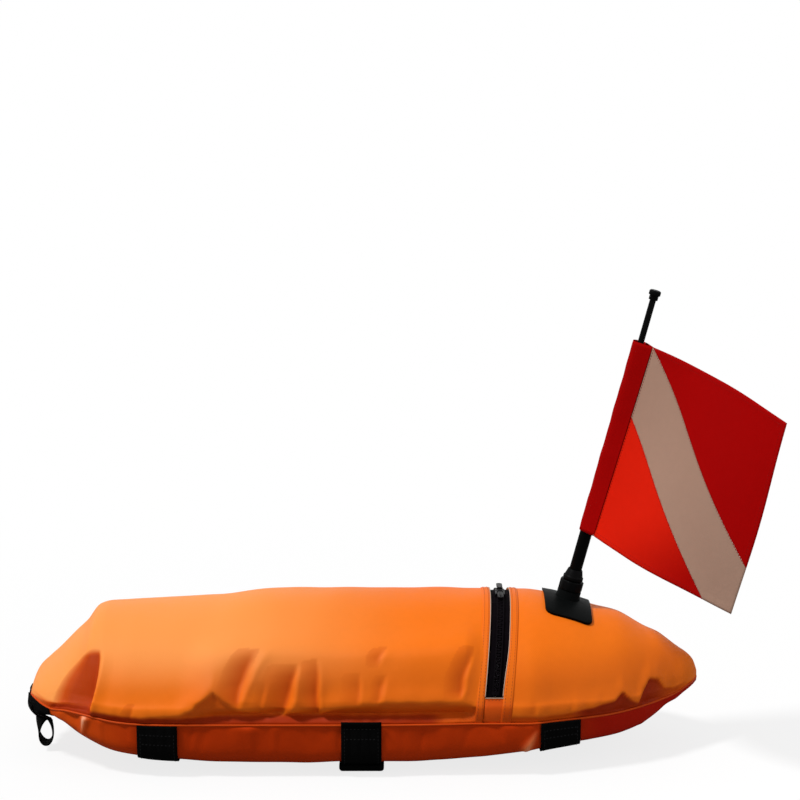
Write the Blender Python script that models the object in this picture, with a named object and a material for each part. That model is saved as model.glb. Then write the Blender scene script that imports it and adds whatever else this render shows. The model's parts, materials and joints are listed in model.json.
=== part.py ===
"""Inflatable dive flag float: zipped cover over a bladder, keel weight, flag pole and tow loop.

Metres, +Z up, +X towards the bow. The origin is the centre of the flat foot under the keel pouch.
"""
import math

import bmesh
import bpy
from mathutils import Matrix, Vector

# Float form: overall sizes
FLOAT_LENGTH = 0.862
FLOAT_WIDTH = 0.300
SEAM_HEIGHT = 0.067
DECK_RISE = 0.1325
KEEL_DEPTH = 0.0565
SEAM_SHEER = 0.019
COVER_WALL = 0.0012
FIT_GAP = 0.0003

# Float form: each row is a place along the half length and a share of the size it follows
HALF_WIDTH_SHARES = [(-1.0, 0.0), (-0.995, 0.09), (-0.984, 0.33), (-0.95, 0.50), (-0.92, 0.60),
                     (-0.87, 0.725), (-0.81, 0.84), (-0.74, 0.93), (-0.66, 0.98), (-0.53, 1.0),
                     (0.0, 1.0), (0.25, 0.975), (0.33, 0.957), (0.48, 0.957), (0.56, 0.885),
                     (0.666, 0.78), (0.738, 0.687), (0.81, 0.56), (0.88, 0.40), (0.92, 0.30),
                     (0.955, 0.21), (0.984, 0.10), (1.0, 0.0)]
DECK_RISE_SHARES = [(-1.0, 0.02), (-0.995, 0.07), (-0.977, 0.20), (-0.942, 0.29), (-0.895, 0.415),
                    (-0.859, 0.515), (-0.825, 0.62), (-0.787, 0.785), (-0.75, 0.832), (-0.65, 0.872),
                    (-0.436, 0.917), (-0.255, 0.984), (0.0, 0.99), (0.33, 0.985), (0.48, 0.977),
                    (0.54, 0.962), (0.612, 0.913), (0.682, 0.842), (0.754, 0.782), (0.842, 0.613),
                    (0.88, 0.55), (0.91, 0.47), (0.944, 0.36), (0.984, 0.20), (0.995, 0.10), (1.0, 0.03)]
KEEL_DEPTH_SHARES = [(-1.0, 0.092), (-0.963, 0.10), (-0.928, 0.13), (-0.893, 0.21), (-0.858, 0.37),
                     (-0.787, 0.64), (-0.715, 0.78), (-0.606, 0.905), (-0.46, 0.965), (0.0, 1.0),
                     (0.232, 0.952), (0.341, 0.88), (0.45, 0.806), (0.557, 0.714), (0.666, 0.64),
                     (0.738, 0.58), (0.81, 0.44), (0.847, 0.34), (0.882, 0.23), (0.92, 0.13),
                     (0.955, 0.096), (1.0, 0.092)]
SHEER_SHARES = [(-1.0, 0.0), (-0.92, 0.12), (-0.85, 0.36), (-0.81, 0.34), (-0.70, 0.08), (-0.60, 0.0),
                (0.70, 0.0), (0.847, 0.16), (0.923, 0.34), (0.967, 0.70), (1.0, 1.0)]

# Deck section: a round arc, then a nearly upright side that tucks in at the seam
ARC_WIDTH_SHARE = 1.034
ARC_END_DEGREES = 71.0
ARC_STEPS = 12
DECK_SIDE_SHARES = [(0.990, 0.0), (1.004, 0.085), (0.999, 0.165)]
HULL_ROUNDNESS = 6.0
HULL_STEPS = 14

# Seam bead between the deck and the hull
BEAD_RADIUS = 0.0020

# Webbing straps under the hull
STRAP_WIDTH = 0.050
STRAP_THICKNESS = 0.0015
STRAP_AFT_SHARE = -0.587
STRAP_FORE_SHARE = 0.575

# Keel pouch and the weight in it
POUCH_WIDTH = 0.056
POUCH_CORNER_RADIUS = 0.007
POUCH_HALF_SPAN = 0.132
POUCH_FLOOR = 0.0012
WEIGHT_LENGTH = 0.200
WEIGHT_WIDTH = 0.046
WEIGHT_EDGE_RADIUS = 0.002
SOFT_GAP = 0.0005

# Zip: its plane leans towards the bow at the crown
ZIP_PLACE_SHARE = 0.4084
ZIP_LEAN_DEGREES = 6.0
ZIP_SLOT_WIDTH = 0.025
FACING_WIDTH = 0.010
FACING_THICKNESS = 0.0006
TAPE_WIDTH = 0.020
TAPE_THICKNESS = 0.0010
TAPE_INNER_EDGE = 0.0021
TAPE_DROP = 0.0005
CHAIN_END_DEGREES = 66.0
TEETH_PER_SIDE = 46
TOOTH_HEIGHT = 0.0020
TOOTH_REACH = 0.0018
TOOTH_WIDTH_SHARE = 0.40
TOOTH_NECK_SHARE = 0.26
TOOTH_TIP_SHARE = 0.6
TOOTH_WAIST_SHARE = 0.3
TOOTH_PHASE = 0.25
RAIL_INNER_EDGE = 0.0028
RAIL_OUTER_EDGE = 0.0046
STOP_LENGTH = 0.005
SLIDER_LENGTH = 0.012
SLIDER_PLATE = 0.0012
SLIDER_FLANGE = 0.0012
SLIDER_CLEARANCE = 0.0004
SLIDER_SPACING = 0.0010
BAIL_HALF_WIDTH = 0.0038
BAIL_EAR = 0.0011
BAIL_LENGTH = 0.0042
BAIL_BAR_RADIUS = 0.0006
PULL_EYE_BORE = 0.0010
PULL_EYE_RADIUS = 0.0017
PULL_LENGTH = 0.026
PULL_WIDTH = 0.0075
PULL_THICKNESS = 0.0011
PULL_HOLE_RADIUS = 0.0018

# Flag base and its socket, measured along the pole axis from the deck
BASE_PLACE_SHARE = 0.6079
POLE_LEAN_DEGREES = 14.8
FLANGE_LENGTH = 0.0595
FLANGE_SPAN = 0.104
FLANGE_THICKNESS = 0.0036
FLANGE_CORNER_RADIUS = 0.010
BOSS_RADIUS = 0.0152
BOSS_TOP = 0.0130
NECK_RADIUS = 0.0125
NECK_TOP = 0.0240
SOCKET_BORE = 0.0083
SOCKET_FLOOR = 0.0030
SEAL_SEAT_RADIUS = 0.0106
SEAL_HEIGHT = 0.0036
LOCK_RING_RADIUS = 0.0152
LOCK_RING_BORE = 0.0129
LOCK_RING_LIP = 0.0022
LOCK_RING_LOBES = 10
LOCK_RING_LOBE_HEIGHT = 0.0007

# Pole: tube, collar, sliding rod and cap
TUBE_RADIUS = 0.0080
TUBE_BORE = 0.0065
TUBE_LENGTH = 0.288
COLLAR_RADIUS = 0.0130
COLLAR_HEIGHT = 0.0062
COLLAR_CONE = 0.0085
BUSHING_FLANGE = 0.0060
BUSHING_SPIGOT = 0.015
ROD_RADIUS = 0.0040
ROD_FOOT_HEIGHT = 0.0080
ROD_FOOT_START = 0.112
ROD_TOP = 0.4087
CAP_RADIUS = 0.0075
CAP_HEIGHT = 0.0065
CAP_NECK_RADIUS = 0.0058
CAP_NECK_HEIGHT = 0.0060
PLUG_FLANGE = 0.0012
PLUG_LENGTH = 0.009
SLIP_GAP = 0.0004

# Flag: sewn sleeve and cloth, hoist along the pole
FLAG_HOIST = 0.2534
FLAG_FLY = 0.2619
FLAG_LIFT = 0.0937
SLEEVE_BORE = 0.0088
SLEEVE_WALL = 0.0011
SLEEVE_SEAM = 0.0205
CLOTH_THICKNESS = 0.0008
STRIPE_TOP_SHARE = 0.756
STRIPE_LOW_SHARE = 0.366
STRIPE_FOOT_SHARE = 0.810
FLY_TURN_DEGREES = {"top_hoist": 44.2, "top_fly": 55.5, "low_hoist": 66.9, "low_fly": 30.3}
FLY_SAG_TOP = 0.0179
FLY_SAG_LOW = 0.0101
FLAG_COLUMNS = 12
FLAG_ROWS = 8

# Tow loop of folded webbing at the stern seam
LOOP_TAB_START = 0.010
LOOP_TAB_END = 0.064
LOOP_TAB_DROP = 0.024
LOOP_TAB_LOW_WIDTH = 0.036
LOOP_WEB_WIDTH = 0.028
LOOP_WEB_THICKNESS = 0.0026
LOOP_HALF_WIDTH = 0.0095
LOOP_HEIGHT = 0.041
LOOP_STEPS = 20
LOOP_SHIFT = 0.024
LOOP_TAB_SHIFT_SHARE = 0.35
LOOP_TOP_NARROW = 0.30
LOOP_TOP_WIDEN = 0.18
LOOP_SEAM_GAP = 0.0015

# Bladder inside the cover
BLADDER_WALL = 0.0008
BLADDER_FLOOR_GAP = 0.0008
BLADDER_SIDE_GAP = 0.018
BLADDER_TOP_GAP = 0.0038
BLADDER_ZIP_DROP = 0.0165
BLADDER_ZIP_REACH = 0.070
BLADDER_ZIP_FLAT = 0.024
BLADDER_STATION_SHARES = [-0.93, -0.88, -0.83, -0.78, -0.71, -0.60, -0.45, -0.20, 0.05]
BLADDER_BOW_SHARES = [0.68, 0.74, 0.80, 0.85, 0.89, 0.925]
VALVE_RADIUS = 0.0120
VALVE_FLANGE_RADIUS = 0.0180
VALVE_FLANGE = 0.0012
VALVE_HEIGHT = 0.0075
VALVE_BORE = 0.0040
VALVE_PORT_REACH = 0.006
CAP_TOP = 0.0014
VALVE_CAP_RADIUS = 0.0142

ROUND_STEPS = 24

HALF_LENGTH = FLOAT_LENGTH / 2
HALF_WIDTH = FLOAT_WIDTH / 2
STRAP_AFT_X = HALF_LENGTH * STRAP_AFT_SHARE
STRAP_FORE_X = HALF_LENGTH * STRAP_FORE_SHARE
ZIP_X = HALF_LENGTH * ZIP_PLACE_SHARE
BASE_X = HALF_LENGTH * BASE_PLACE_SHARE
ZIP_LEAN = math.tan(math.radians(ZIP_LEAN_DEGREES))


# Reading the form

def follow(table, place):
    """A smooth curve through the table's points that never overshoots them."""
    if place <= table[0][0]:
        return table[0][1]
    if place >= table[-1][0]:
        return table[-1][1]
    steps = [(b[0] - a[0], (b[1] - a[1]) / (b[0] - a[0])) for a, b in zip(table, table[1:])]
    index = max(i for i in range(len(steps)) if table[i][0] <= place)

    def tangent(i):
        if i == 0:
            return steps[0][1]
        if i == len(steps):
            return steps[-1][1]
        before, after = steps[i - 1][1], steps[i][1]
        if before * after <= 0:
            return 0.0
        return 2 * before * after / (before + after)

    width, slope = steps[index]
    t = (place - table[index][0]) / width
    low, high = table[index][1], table[index + 1][1]
    rise_in, rise_out = tangent(index) * width, tangent(index + 1) * width
    return (low * (1 + 2 * t) * (1 - t) ** 2 + rise_in * t * (1 - t) ** 2
            + high * t * t * (3 - 2 * t) + rise_out * t * t * (t - 1))


def half_width(x):
    return HALF_WIDTH * follow(HALF_WIDTH_SHARES, x / HALF_LENGTH)


def deck_rise(x):
    return DECK_RISE * follow(DECK_RISE_SHARES, x / HALF_LENGTH)


def keel_depth(x):
    return KEEL_DEPTH * follow(KEEL_DEPTH_SHARES, x / HALF_LENGTH)


def seam_height(x):
    return SEAM_HEIGHT + SEAM_SHEER * follow(SHEER_SHARES, x / HALF_LENGTH)


def crown_height(x):
    return seam_height(x) + deck_rise(x)


def deck_foot(x):
    """How far the deck's lower edge stays above the seam, to clear the bead."""
    return min(BEAD_RADIUS + FIT_GAP, deck_rise(x) * 0.5)


def arc_height_share():
    """The arc's vertical radius over the deck's height; it makes the arc round at the zip."""
    return half_width(ZIP_X) * ARC_WIDTH_SHARE / (deck_rise(ZIP_X) - deck_foot(ZIP_X))


def arc_rise(x, angle):
    """Height of the deck's arc above the seam at an angle from the crown."""
    foot = deck_foot(x)
    return foot + (deck_rise(x) - foot) * (1 - arc_height_share() * (1 - math.cos(angle)))


def deck_section(x):
    """Points (y, z) from the near seam over the crown to the far seam."""
    width, seam, foot = half_width(x), seam_height(x), deck_foot(x)
    side = [(width * a, seam + foot + (deck_rise(x) - foot) * b) for a, b in DECK_SIDE_SHARES]
    arc = []
    for step in range(ARC_STEPS + 1):
        angle = math.radians(ARC_END_DEGREES) * (2 * step / ARC_STEPS - 1)
        arc.append((width * ARC_WIDTH_SHARE * math.sin(angle), seam + arc_rise(x, angle)))
    return [(-y, z) for y, z in side] + arc + side[::-1]


def deck_height(x, y):
    """Height of the deck's round arc above a place in plan."""
    angle = math.asin(y / (half_width(x) * ARC_WIDTH_SHARE))
    return seam_height(x) + arc_rise(x, angle)


def hull_section(x):
    """Points (y, z) from the near seam under the keel to the far seam."""
    width, depth, seam = half_width(x), keel_depth(x), seam_height(x)
    edge = min(BEAD_RADIUS + 2 * FIT_GAP, depth * 0.5)
    points = []
    for step in range(HULL_STEPS + 1):
        angle = math.pi * step / HULL_STEPS
        y = -width * math.copysign(abs(math.cos(angle)) ** (2 / HULL_ROUNDNESS), math.cos(angle))
        z = seam - edge - (depth - edge) * abs(math.sin(angle)) ** (2 / HULL_ROUNDNESS)
        points.append((y, z))
    return points


def offset_line(points, distance):
    """Moves an open line of (y, z) points sideways; positive is to the left of its run."""
    moved = []
    for i, (y, z) in enumerate(points):
        ahead = points[min(i + 1, len(points) - 1)]
        behind = points[max(i - 1, 0)]
        normals = []
        for a, b in ((behind, (y, z)), ((y, z), ahead)):
            run, rise = b[0] - a[0], b[1] - a[1]
            size = math.hypot(run, rise)
            if size > 0:
                normals.append((-rise / size, run / size))
        ny = sum(n[0] for n in normals) / len(normals)
        nz = sum(n[1] for n in normals) / len(normals)
        scale = distance / max(ny * ny + nz * nz, 0.25)
        moved.append((y + ny * scale, z + nz * scale))
    return moved


def deck_row(x, offset=0.0, lean=0.0):
    """One row of deck points; a lean tilts the row about the crown."""
    straight = deck_section(x)
    row = []
    for index in range(len(straight)):
        place = x
        for repeat in range(4):
            section = deck_section(place)
            place = x + lean * (section[index][1] - crown_height(x))
        y, z = offset_line(section, offset)[index]
        row.append(Vector((place, y, z)))
    return row


def hull_row(x, offset=0.0):
    """One row of hull points; a positive offset is outwards."""
    return [Vector((x, y, z)) for y, z in offset_line(hull_section(x), -offset)]


# Making objects

def clear_scene():
    for item in list(bpy.data.objects):
        bpy.data.objects.remove(item, do_unlink=True)


def finish(name, colour, roughness, metallic=0.0):
    """A plain material for one sub-part."""
    made = bpy.data.materials.new(name)
    made.use_nodes = True
    shader = made.node_tree.nodes["Principled BSDF"]
    shader.inputs["Base Color"].default_value = (*colour, 1.0)
    shader.inputs["Roughness"].default_value = roughness
    shader.inputs["Metallic"].default_value = metallic
    return made


FINISHES = {
    "deck_fabric": ((0.90, 0.24, 0.02), 0.50, 0.0),
    "hull_fabric": ((0.55, 0.10, 0.01), 0.50, 0.0),
    "webbing": ((0.012, 0.012, 0.013), 0.85, 0.0),
    "zip_tape": ((0.015, 0.015, 0.016), 0.80, 0.0),
    "moulded_plastic": ((0.014, 0.014, 0.015), 0.45, 0.0),
    "black_metal": ((0.03, 0.03, 0.032), 0.35, 1.0),
    "pole_plastic": ((0.013, 0.013, 0.014), 0.35, 0.0),
    "rubber": ((0.02, 0.02, 0.02), 0.70, 0.0),
    "lead": ((0.22, 0.22, 0.23), 0.60, 1.0),
    "bladder_film": ((0.30, 0.31, 0.33), 0.40, 0.0),
    "flag_red": ((0.60, 0.015, 0.01), 0.65, 0.0),
    "flag_white": ((0.70, 0.66, 0.62), 0.65, 0.0),
}


def place_mesh(name, shape, material, parent=None, smooth=True):
    """Turns a bmesh into a named object under an optional parent empty."""
    bmesh.ops.recalc_face_normals(shape, faces=shape.faces)
    mesh = bpy.data.meshes.new(name)
    shape.to_mesh(mesh)
    shape.free()
    if smooth:
        mesh.shade_smooth()
        mesh.set_sharp_from_angle(angle=math.radians(35))
    item = bpy.data.objects.new(name, mesh)
    bpy.context.collection.objects.link(item)
    if material:
        mesh.materials.append(finish(name, *FINISHES[material]))
    item.parent = parent
    return item


def empty(name, location, lean_degrees=0.0, parent=None):
    """A parent frame whose Z axis leans towards the bow."""
    item = bpy.data.objects.new(name, None)
    bpy.context.collection.objects.link(item)
    item.location = location
    item.rotation_euler = (0.0, math.radians(lean_degrees), 0.0)
    item.parent = parent
    return item


def combine(target, tool, operation):
    """Joins or cuts a target with a tool, which then stays out of the model."""
    step = target.modifiers.new(operation.lower(), "BOOLEAN")
    step.operation = operation
    step.solver = "EXACT"
    step.object = tool
    tool.hide_render = True
    tool.display_type = "WIRE"
    return target


def slab_faces(shape, front, back):
    """Closes two matching grids of points into one thin body."""
    rows, columns = len(front), len(front[0])
    sides = [[[shape.verts.new(p) for p in row] for row in grid] for grid in (front, back)]
    for grid in sides:
        for i in range(rows - 1):
            for j in range(columns - 1):
                shape.faces.new((grid[i][j], grid[i][j + 1], grid[i + 1][j + 1], grid[i + 1][j]))
    top, low = sides
    border = [(0, j) for j in range(columns)] + [(i, columns - 1) for i in range(1, rows)]
    border += [(rows - 1, j) for j in range(columns - 2, -1, -1)] + [(i, 0) for i in range(rows - 2, 0, -1)]
    for (a, b), (c, d) in zip(border, border[1:] + border[:1]):
        shape.faces.new((top[a][b], top[c][d], low[c][d], low[a][b]))


def slab(name, front, back, material, parent=None):
    """A thin body between two grids of points."""
    shape = bmesh.new()
    slab_faces(shape, front, back)
    return place_mesh(name, shape, material, parent)


def ring_loft(name, rings, material, parent=None, closed=False):
    """A skin over a row of closed rings; the ends are capped, or joined round when closed."""
    shape = bmesh.new()
    loops = [[shape.verts.new(p) for p in ring] for ring in rings]
    pairs = list(zip(loops, loops[1:] + loops[:1])) if closed else list(zip(loops, loops[1:]))
    for first, second in pairs:
        for i in range(len(first)):
            j = (i + 1) % len(first)
            shape.faces.new((first[i], first[j], second[j], second[i]))
    if not closed:
        shape.faces.new(loops[0])
        shape.faces.new(loops[-1])
    return place_mesh(name, shape, material, parent)


def turned(name, outline, material, parent=None, lobes=0, lobe_height=0.0, centre=None):
    """Spins a closed outline of (radius, height) about Z; lobes wave its outermost wall."""
    shape = bmesh.new()
    corners = [shape.verts.new((radius, 0.0, height)) for radius, height in outline]
    edges = [shape.edges.new((a, b)) for a, b in zip(corners, corners[1:] + corners[:1])]
    steps = ROUND_STEPS if not lobes else lobes * 4
    bmesh.ops.spin(shape, geom=corners + edges, cent=(0, 0, 0), axis=(0, 0, 1),
                   angle=math.tau, steps=steps, use_merge=True)
    bmesh.ops.remove_doubles(shape, verts=shape.verts, dist=FIT_GAP / 100)
    if lobes:
        widest = max(radius for radius, height in outline)
        for vert in shape.verts:
            radius = math.hypot(vert.co.x, vert.co.y)
            if radius > widest - lobe_height:
                wave = lobe_height * (math.cos(lobes * math.atan2(vert.co.y, vert.co.x)) - 1) / 2
                vert.co.x *= (radius + wave) / radius
                vert.co.y *= (radius + wave) / radius
    if centre is not None:
        bmesh.ops.translate(shape, verts=shape.verts, vec=centre)
    return place_mesh(name, shape, material, parent)


def prism(name, outline, depth, material, parent=None, turn=None):
    """Extrudes a closed outline in X and Y upwards, then turns it into place."""
    shape = bmesh.new()
    face = shape.faces.new([shape.verts.new((x, y, 0.0)) for x, y in outline])
    grown = bmesh.ops.extrude_face_region(shape, geom=[face])
    lifted = [v for v in grown["geom"] if isinstance(v, bmesh.types.BMVert)]
    bmesh.ops.translate(shape, verts=lifted, vec=(0.0, 0.0, depth))
    if turn is not None:
        bmesh.ops.transform(shape, matrix=turn, verts=shape.verts)
    return place_mesh(name, shape, material, parent)


def block(name, low, high, material, parent=None):
    """A plain box between two corners."""
    shape = bmesh.new()
    middle = (Vector(low) + Vector(high)) / 2
    size = Vector(high) - Vector(low)
    bmesh.ops.create_cube(shape, size=1.0, matrix=Matrix.Translation(middle) @ Matrix.Diagonal((*size, 1.0)))
    return place_mesh(name, shape, material, parent)


def rounded_rectangle(half_x, half_y, radius, corner_steps=4):
    """A closed outline with round corners."""
    points = []
    for quarter, (sx, sy) in enumerate(((1, 1), (-1, 1), (-1, -1), (1, -1))):
        for step in range(corner_steps + 1):
            angle = math.pi / 2 * (quarter + step / corner_steps)
            points.append((sx * (half_x - radius) + radius * math.cos(angle),
                           sy * (half_y - radius) + radius * math.sin(angle)))
    return points


# Cover: deck panels, hull panel, seam bead

DECK_STATION_SHARES = [-0.9985, -0.993, -0.984, -0.96, -0.92, -0.88, -0.83, -0.78, -0.71, -0.60,
                       -0.45, -0.28, -0.10, 0.08, 0.20]
BOW_STATION_SHARES = [0.56, 0.62, 0.68, 0.74, 0.80, 0.85, 0.89, 0.925, 0.955, 0.98, 0.992, 0.998]
HULL_STATION_SHARES = [-0.9985, -0.993, -0.984, -0.96, -0.92, -0.88, -0.83, -0.78, -0.71]
HULL_MIDDLE_SHARES = [-0.45, -0.35, -0.22, -0.11]
HULL_FORE_SHARES = [0.11, 0.22, 0.33, 0.45]
HULL_BOW_SHARES = [0.68, 0.74, 0.80, 0.85, 0.89, 0.925, 0.955, 0.98, 0.992, 0.998]
LEAN_BLEND_SHARES = [0.35, 0.70]


def strap_places(centre):
    return [centre + STRAP_WIDTH * part for part in (-0.5, 0.0, 0.5)]


def slot_edge(side, inset=0.0):
    """Crown place of the zip slot's aft (-1) or fore (+1) edge."""
    return ZIP_X + side * (ZIP_SLOT_WIDTH / 2 + inset) / math.cos(math.radians(ZIP_LEAN_DEGREES))


def deck_panel_rows(side, offset):
    """Rows of one deck panel, which lean more and more towards the zip."""
    edge = slot_edge(side)
    if side < 0:
        plain = [share * HALF_LENGTH for share in DECK_STATION_SHARES]
        far = plain[-1]
    else:
        plain = [share * HALF_LENGTH for share in BOW_STATION_SHARES]
        far = plain[0]
    leaning = [(far + (edge - far) * part, ZIP_LEAN * part) for part in LEAN_BLEND_SHARES]
    leaning += [(slot_edge(side, FACING_WIDTH), ZIP_LEAN), (edge, ZIP_LEAN)]
    rows = [(x, 0.0) for x in plain]
    rows = rows + leaning if side < 0 else leaning[::-1] + rows
    rows = sorted(set(rows))
    return [deck_row(x, offset, lean) for x, lean in rows]


def build_deck():
    for name, side in (("deck_panel_aft", -1), ("deck_panel_fore", 1)):
        slab(name, deck_panel_rows(side, 0.0), deck_panel_rows(side, -COVER_WALL), "deck_fabric")


def hull_places():
    places = [share * HALF_LENGTH for share in HULL_STATION_SHARES]
    places += strap_places(STRAP_AFT_X) + [share * HALF_LENGTH for share in HULL_MIDDLE_SHARES]
    places += strap_places(0.0) + [share * HALF_LENGTH for share in HULL_FORE_SHARES]
    places += strap_places(STRAP_FORE_X) + [share * HALF_LENGTH for share in HULL_BOW_SHARES]
    return sorted(places)


def build_hull():
    places = hull_places()
    slab("hull_panel", [hull_row(x) for x in places], [hull_row(x, -COVER_WALL) for x in places],
         "hull_fabric")


def build_bead():
    """The seam's cord bead runs once round the float."""
    shares = DECK_STATION_SHARES[1:] + [0.30, 0.40, 0.48] + BOW_STATION_SHARES[:-1]
    near = [share * HALF_LENGTH for share in shares]
    route = [Vector((-HALF_LENGTH - BEAD_RADIUS, 0.0, seam_height(-HALF_LENGTH)))]
    route += [Vector((x, -half_width(x), seam_height(x))) for x in near]
    route += [Vector((HALF_LENGTH + BEAD_RADIUS, 0.0, seam_height(HALF_LENGTH)))]
    route += [Vector((x, half_width(x), seam_height(x))) for x in reversed(near)]
    curve = bpy.data.curves.new("seam_bead", "CURVE")
    curve.dimensions = "3D"
    curve.bevel_depth = BEAD_RADIUS
    curve.bevel_resolution = 1
    spline = curve.splines.new("POLY")
    spline.points.add(len(route) - 1)
    for point, place in zip(spline.points, route):
        point.co = (*place, 1.0)
    spline.use_cyclic_u = True
    bead = bpy.data.objects.new("seam_bead", curve)
    bpy.context.collection.objects.link(bead)
    curve.materials.append(finish("seam_bead", *FINISHES["hull_fabric"]))


# Straps and keel pouch

def build_straps():
    for name, centre in (("strap_aft", STRAP_AFT_X), ("strap_mid", 0.0), ("strap_fore", STRAP_FORE_X)):
        places = strap_places(centre)
        slab(name, [hull_row(x, FIT_GAP) for x in places],
             [hull_row(x, FIT_GAP + STRAP_THICKNESS) for x in places], "webbing")


def build_pouch():
    """A flat-footed pouch hung under the middle strap, open at the top for its weight."""
    strap_skin = FIT_GAP + STRAP_THICKNESS + FIT_GAP
    inner = offset_line(hull_section(0.0), -strap_skin)
    inner = [(y, z) for y, z in inner if abs(y) <= POUCH_HALF_SPAN]
    lift = inner[0][1]
    outer = [(-POUCH_HALF_SPAN * 1.02, lift * 0.86), (-POUCH_HALF_SPAN, lift * 0.45),
             (-POUCH_HALF_SPAN * 0.97, lift * 0.18), (-POUCH_HALF_SPAN * 0.91, 0.0)]
    outer += [(-y, z) for y, z in reversed(outer)]
    outline = outer + inner[::-1]
    half = POUCH_WIDTH / 2
    along = Matrix(((0, 0, 1, -half), (1, 0, 0, 0), (0, 1, 0, 0), (0, 0, 0, 1)))
    pouch = prism("ballast_pouch", outline, POUCH_WIDTH, "webbing", turn=along)

    tall = POUCH_HALF_SPAN
    span = 3 * POUCH_HALF_SPAN
    across = Matrix(((1, 0, 0, 0), (0, 0, 1, -span / 2), (0, 1, 0, tall), (0, 0, 0, 1)))
    trim = prism("pouch_trim", rounded_rectangle(half, tall, POUCH_CORNER_RADIUS), span, None, turn=across)
    combine(pouch, trim, "INTERSECT")

    floor = POUCH_FLOOR
    pocket_x = WEIGHT_WIDTH / 2 + SOFT_GAP
    pocket_y = WEIGHT_LENGTH / 2 + SOFT_GAP
    pocket = block("pouch_pocket", (-pocket_x, -pocket_y, floor),
                   (pocket_x, pocket_y, tall), None)
    combine(pouch, pocket, "DIFFERENCE")

    ceiling = SEAM_HEIGHT - KEEL_DEPTH - strap_skin
    low = floor + FIT_GAP
    outline = rounded_rectangle(WEIGHT_WIDTH / 2, WEIGHT_LENGTH / 2, WEIGHT_EDGE_RADIUS)
    prism("ballast_weight", outline, ceiling - low, "lead", turn=Matrix.Translation((0, 0, low)))


# Zip in its own leaning frame: X across the chain, Z out of the crown

def zip_frame():
    radius = half_width(ZIP_X) * ARC_WIDTH_SHARE
    lean = math.radians(ZIP_LEAN_DEGREES)
    crown = Vector((ZIP_X, 0.0, crown_height(ZIP_X)))
    centre = crown - Vector((math.sin(lean), 0.0, math.cos(lean))) * radius
    return empty("zip_axis", centre, ZIP_LEAN_DEGREES), radius


def arc_point(across, radius, angle):
    """A place in the zip frame: a distance along the float, a radius and the angle from the crown."""
    lean = math.radians(ZIP_LEAN_DEGREES)
    return Vector((across * math.cos(lean), radius * math.sin(angle),
                   radius * math.cos(angle) + across * math.sin(lean)))


def arc_angles(limit_degrees):
    """The deck's own facet angles as far as a limit, so that the faces lie parallel."""
    limit = math.radians(limit_degrees)
    whole = [math.radians(ARC_END_DEGREES) * (2 * step / ARC_STEPS - 1) for step in range(ARC_STEPS + 1)]
    kept = [angle for angle in whole if abs(angle) < limit]
    return [-limit] + kept + [limit]


def arc_strip(name, edges, low, high, limit_degrees, material, parent):
    """A strip bent along the zip between two radii."""
    angles = arc_angles(limit_degrees)
    step = math.radians(ARC_END_DEGREES) * 2 / ARC_STEPS

    def row(across, radius):
        points = []
        for angle in angles:
            phase = (angle + math.radians(ARC_END_DEGREES)) % step
            flat = math.cos(step / 2) / math.cos(phase - step / 2)
            points.append(arc_point(across, radius * flat, angle))
        return points

    return slab(name, [row(x, high) for x in edges], [row(x, low) for x in edges], material, parent)


def build_zip_cover():
    """Facings beside the slot and the tabs that close its two ends."""
    for name, side in (("zip_facing_aft", -1), ("zip_facing_fore", 1)):
        edges = sorted((slot_edge(side), slot_edge(side, FACING_WIDTH)))
        low = [deck_row(x, FIT_GAP, ZIP_LEAN) for x in edges]
        high = [deck_row(x, FIT_GAP + FACING_THICKNESS, ZIP_LEAN) for x in edges]
        slab(name, high, low, "deck_fabric")
    side_points = len(DECK_SIDE_SHARES)
    for name, part in (("zip_end_tab_near", slice(0, side_points + 1)),
                       ("zip_end_tab_far", slice(-side_points - 1, None))):
        edges = [slot_edge(-1, -FIT_GAP), slot_edge(1, -FIT_GAP)]
        high = [deck_row(x, 0.0, ZIP_LEAN)[part] for x in edges]
        low = [deck_row(x, -COVER_WALL, ZIP_LEAN)[part] for x in edges]
        slab(name, high, low, "deck_fabric")


def chain_radius(radius):
    """Inner and outer radius of the teeth, which sit on the tapes."""
    tape_top = radius - COVER_WALL - TAPE_DROP
    return tape_top + FIT_GAP, tape_top + FIT_GAP + TOOTH_HEIGHT


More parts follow.
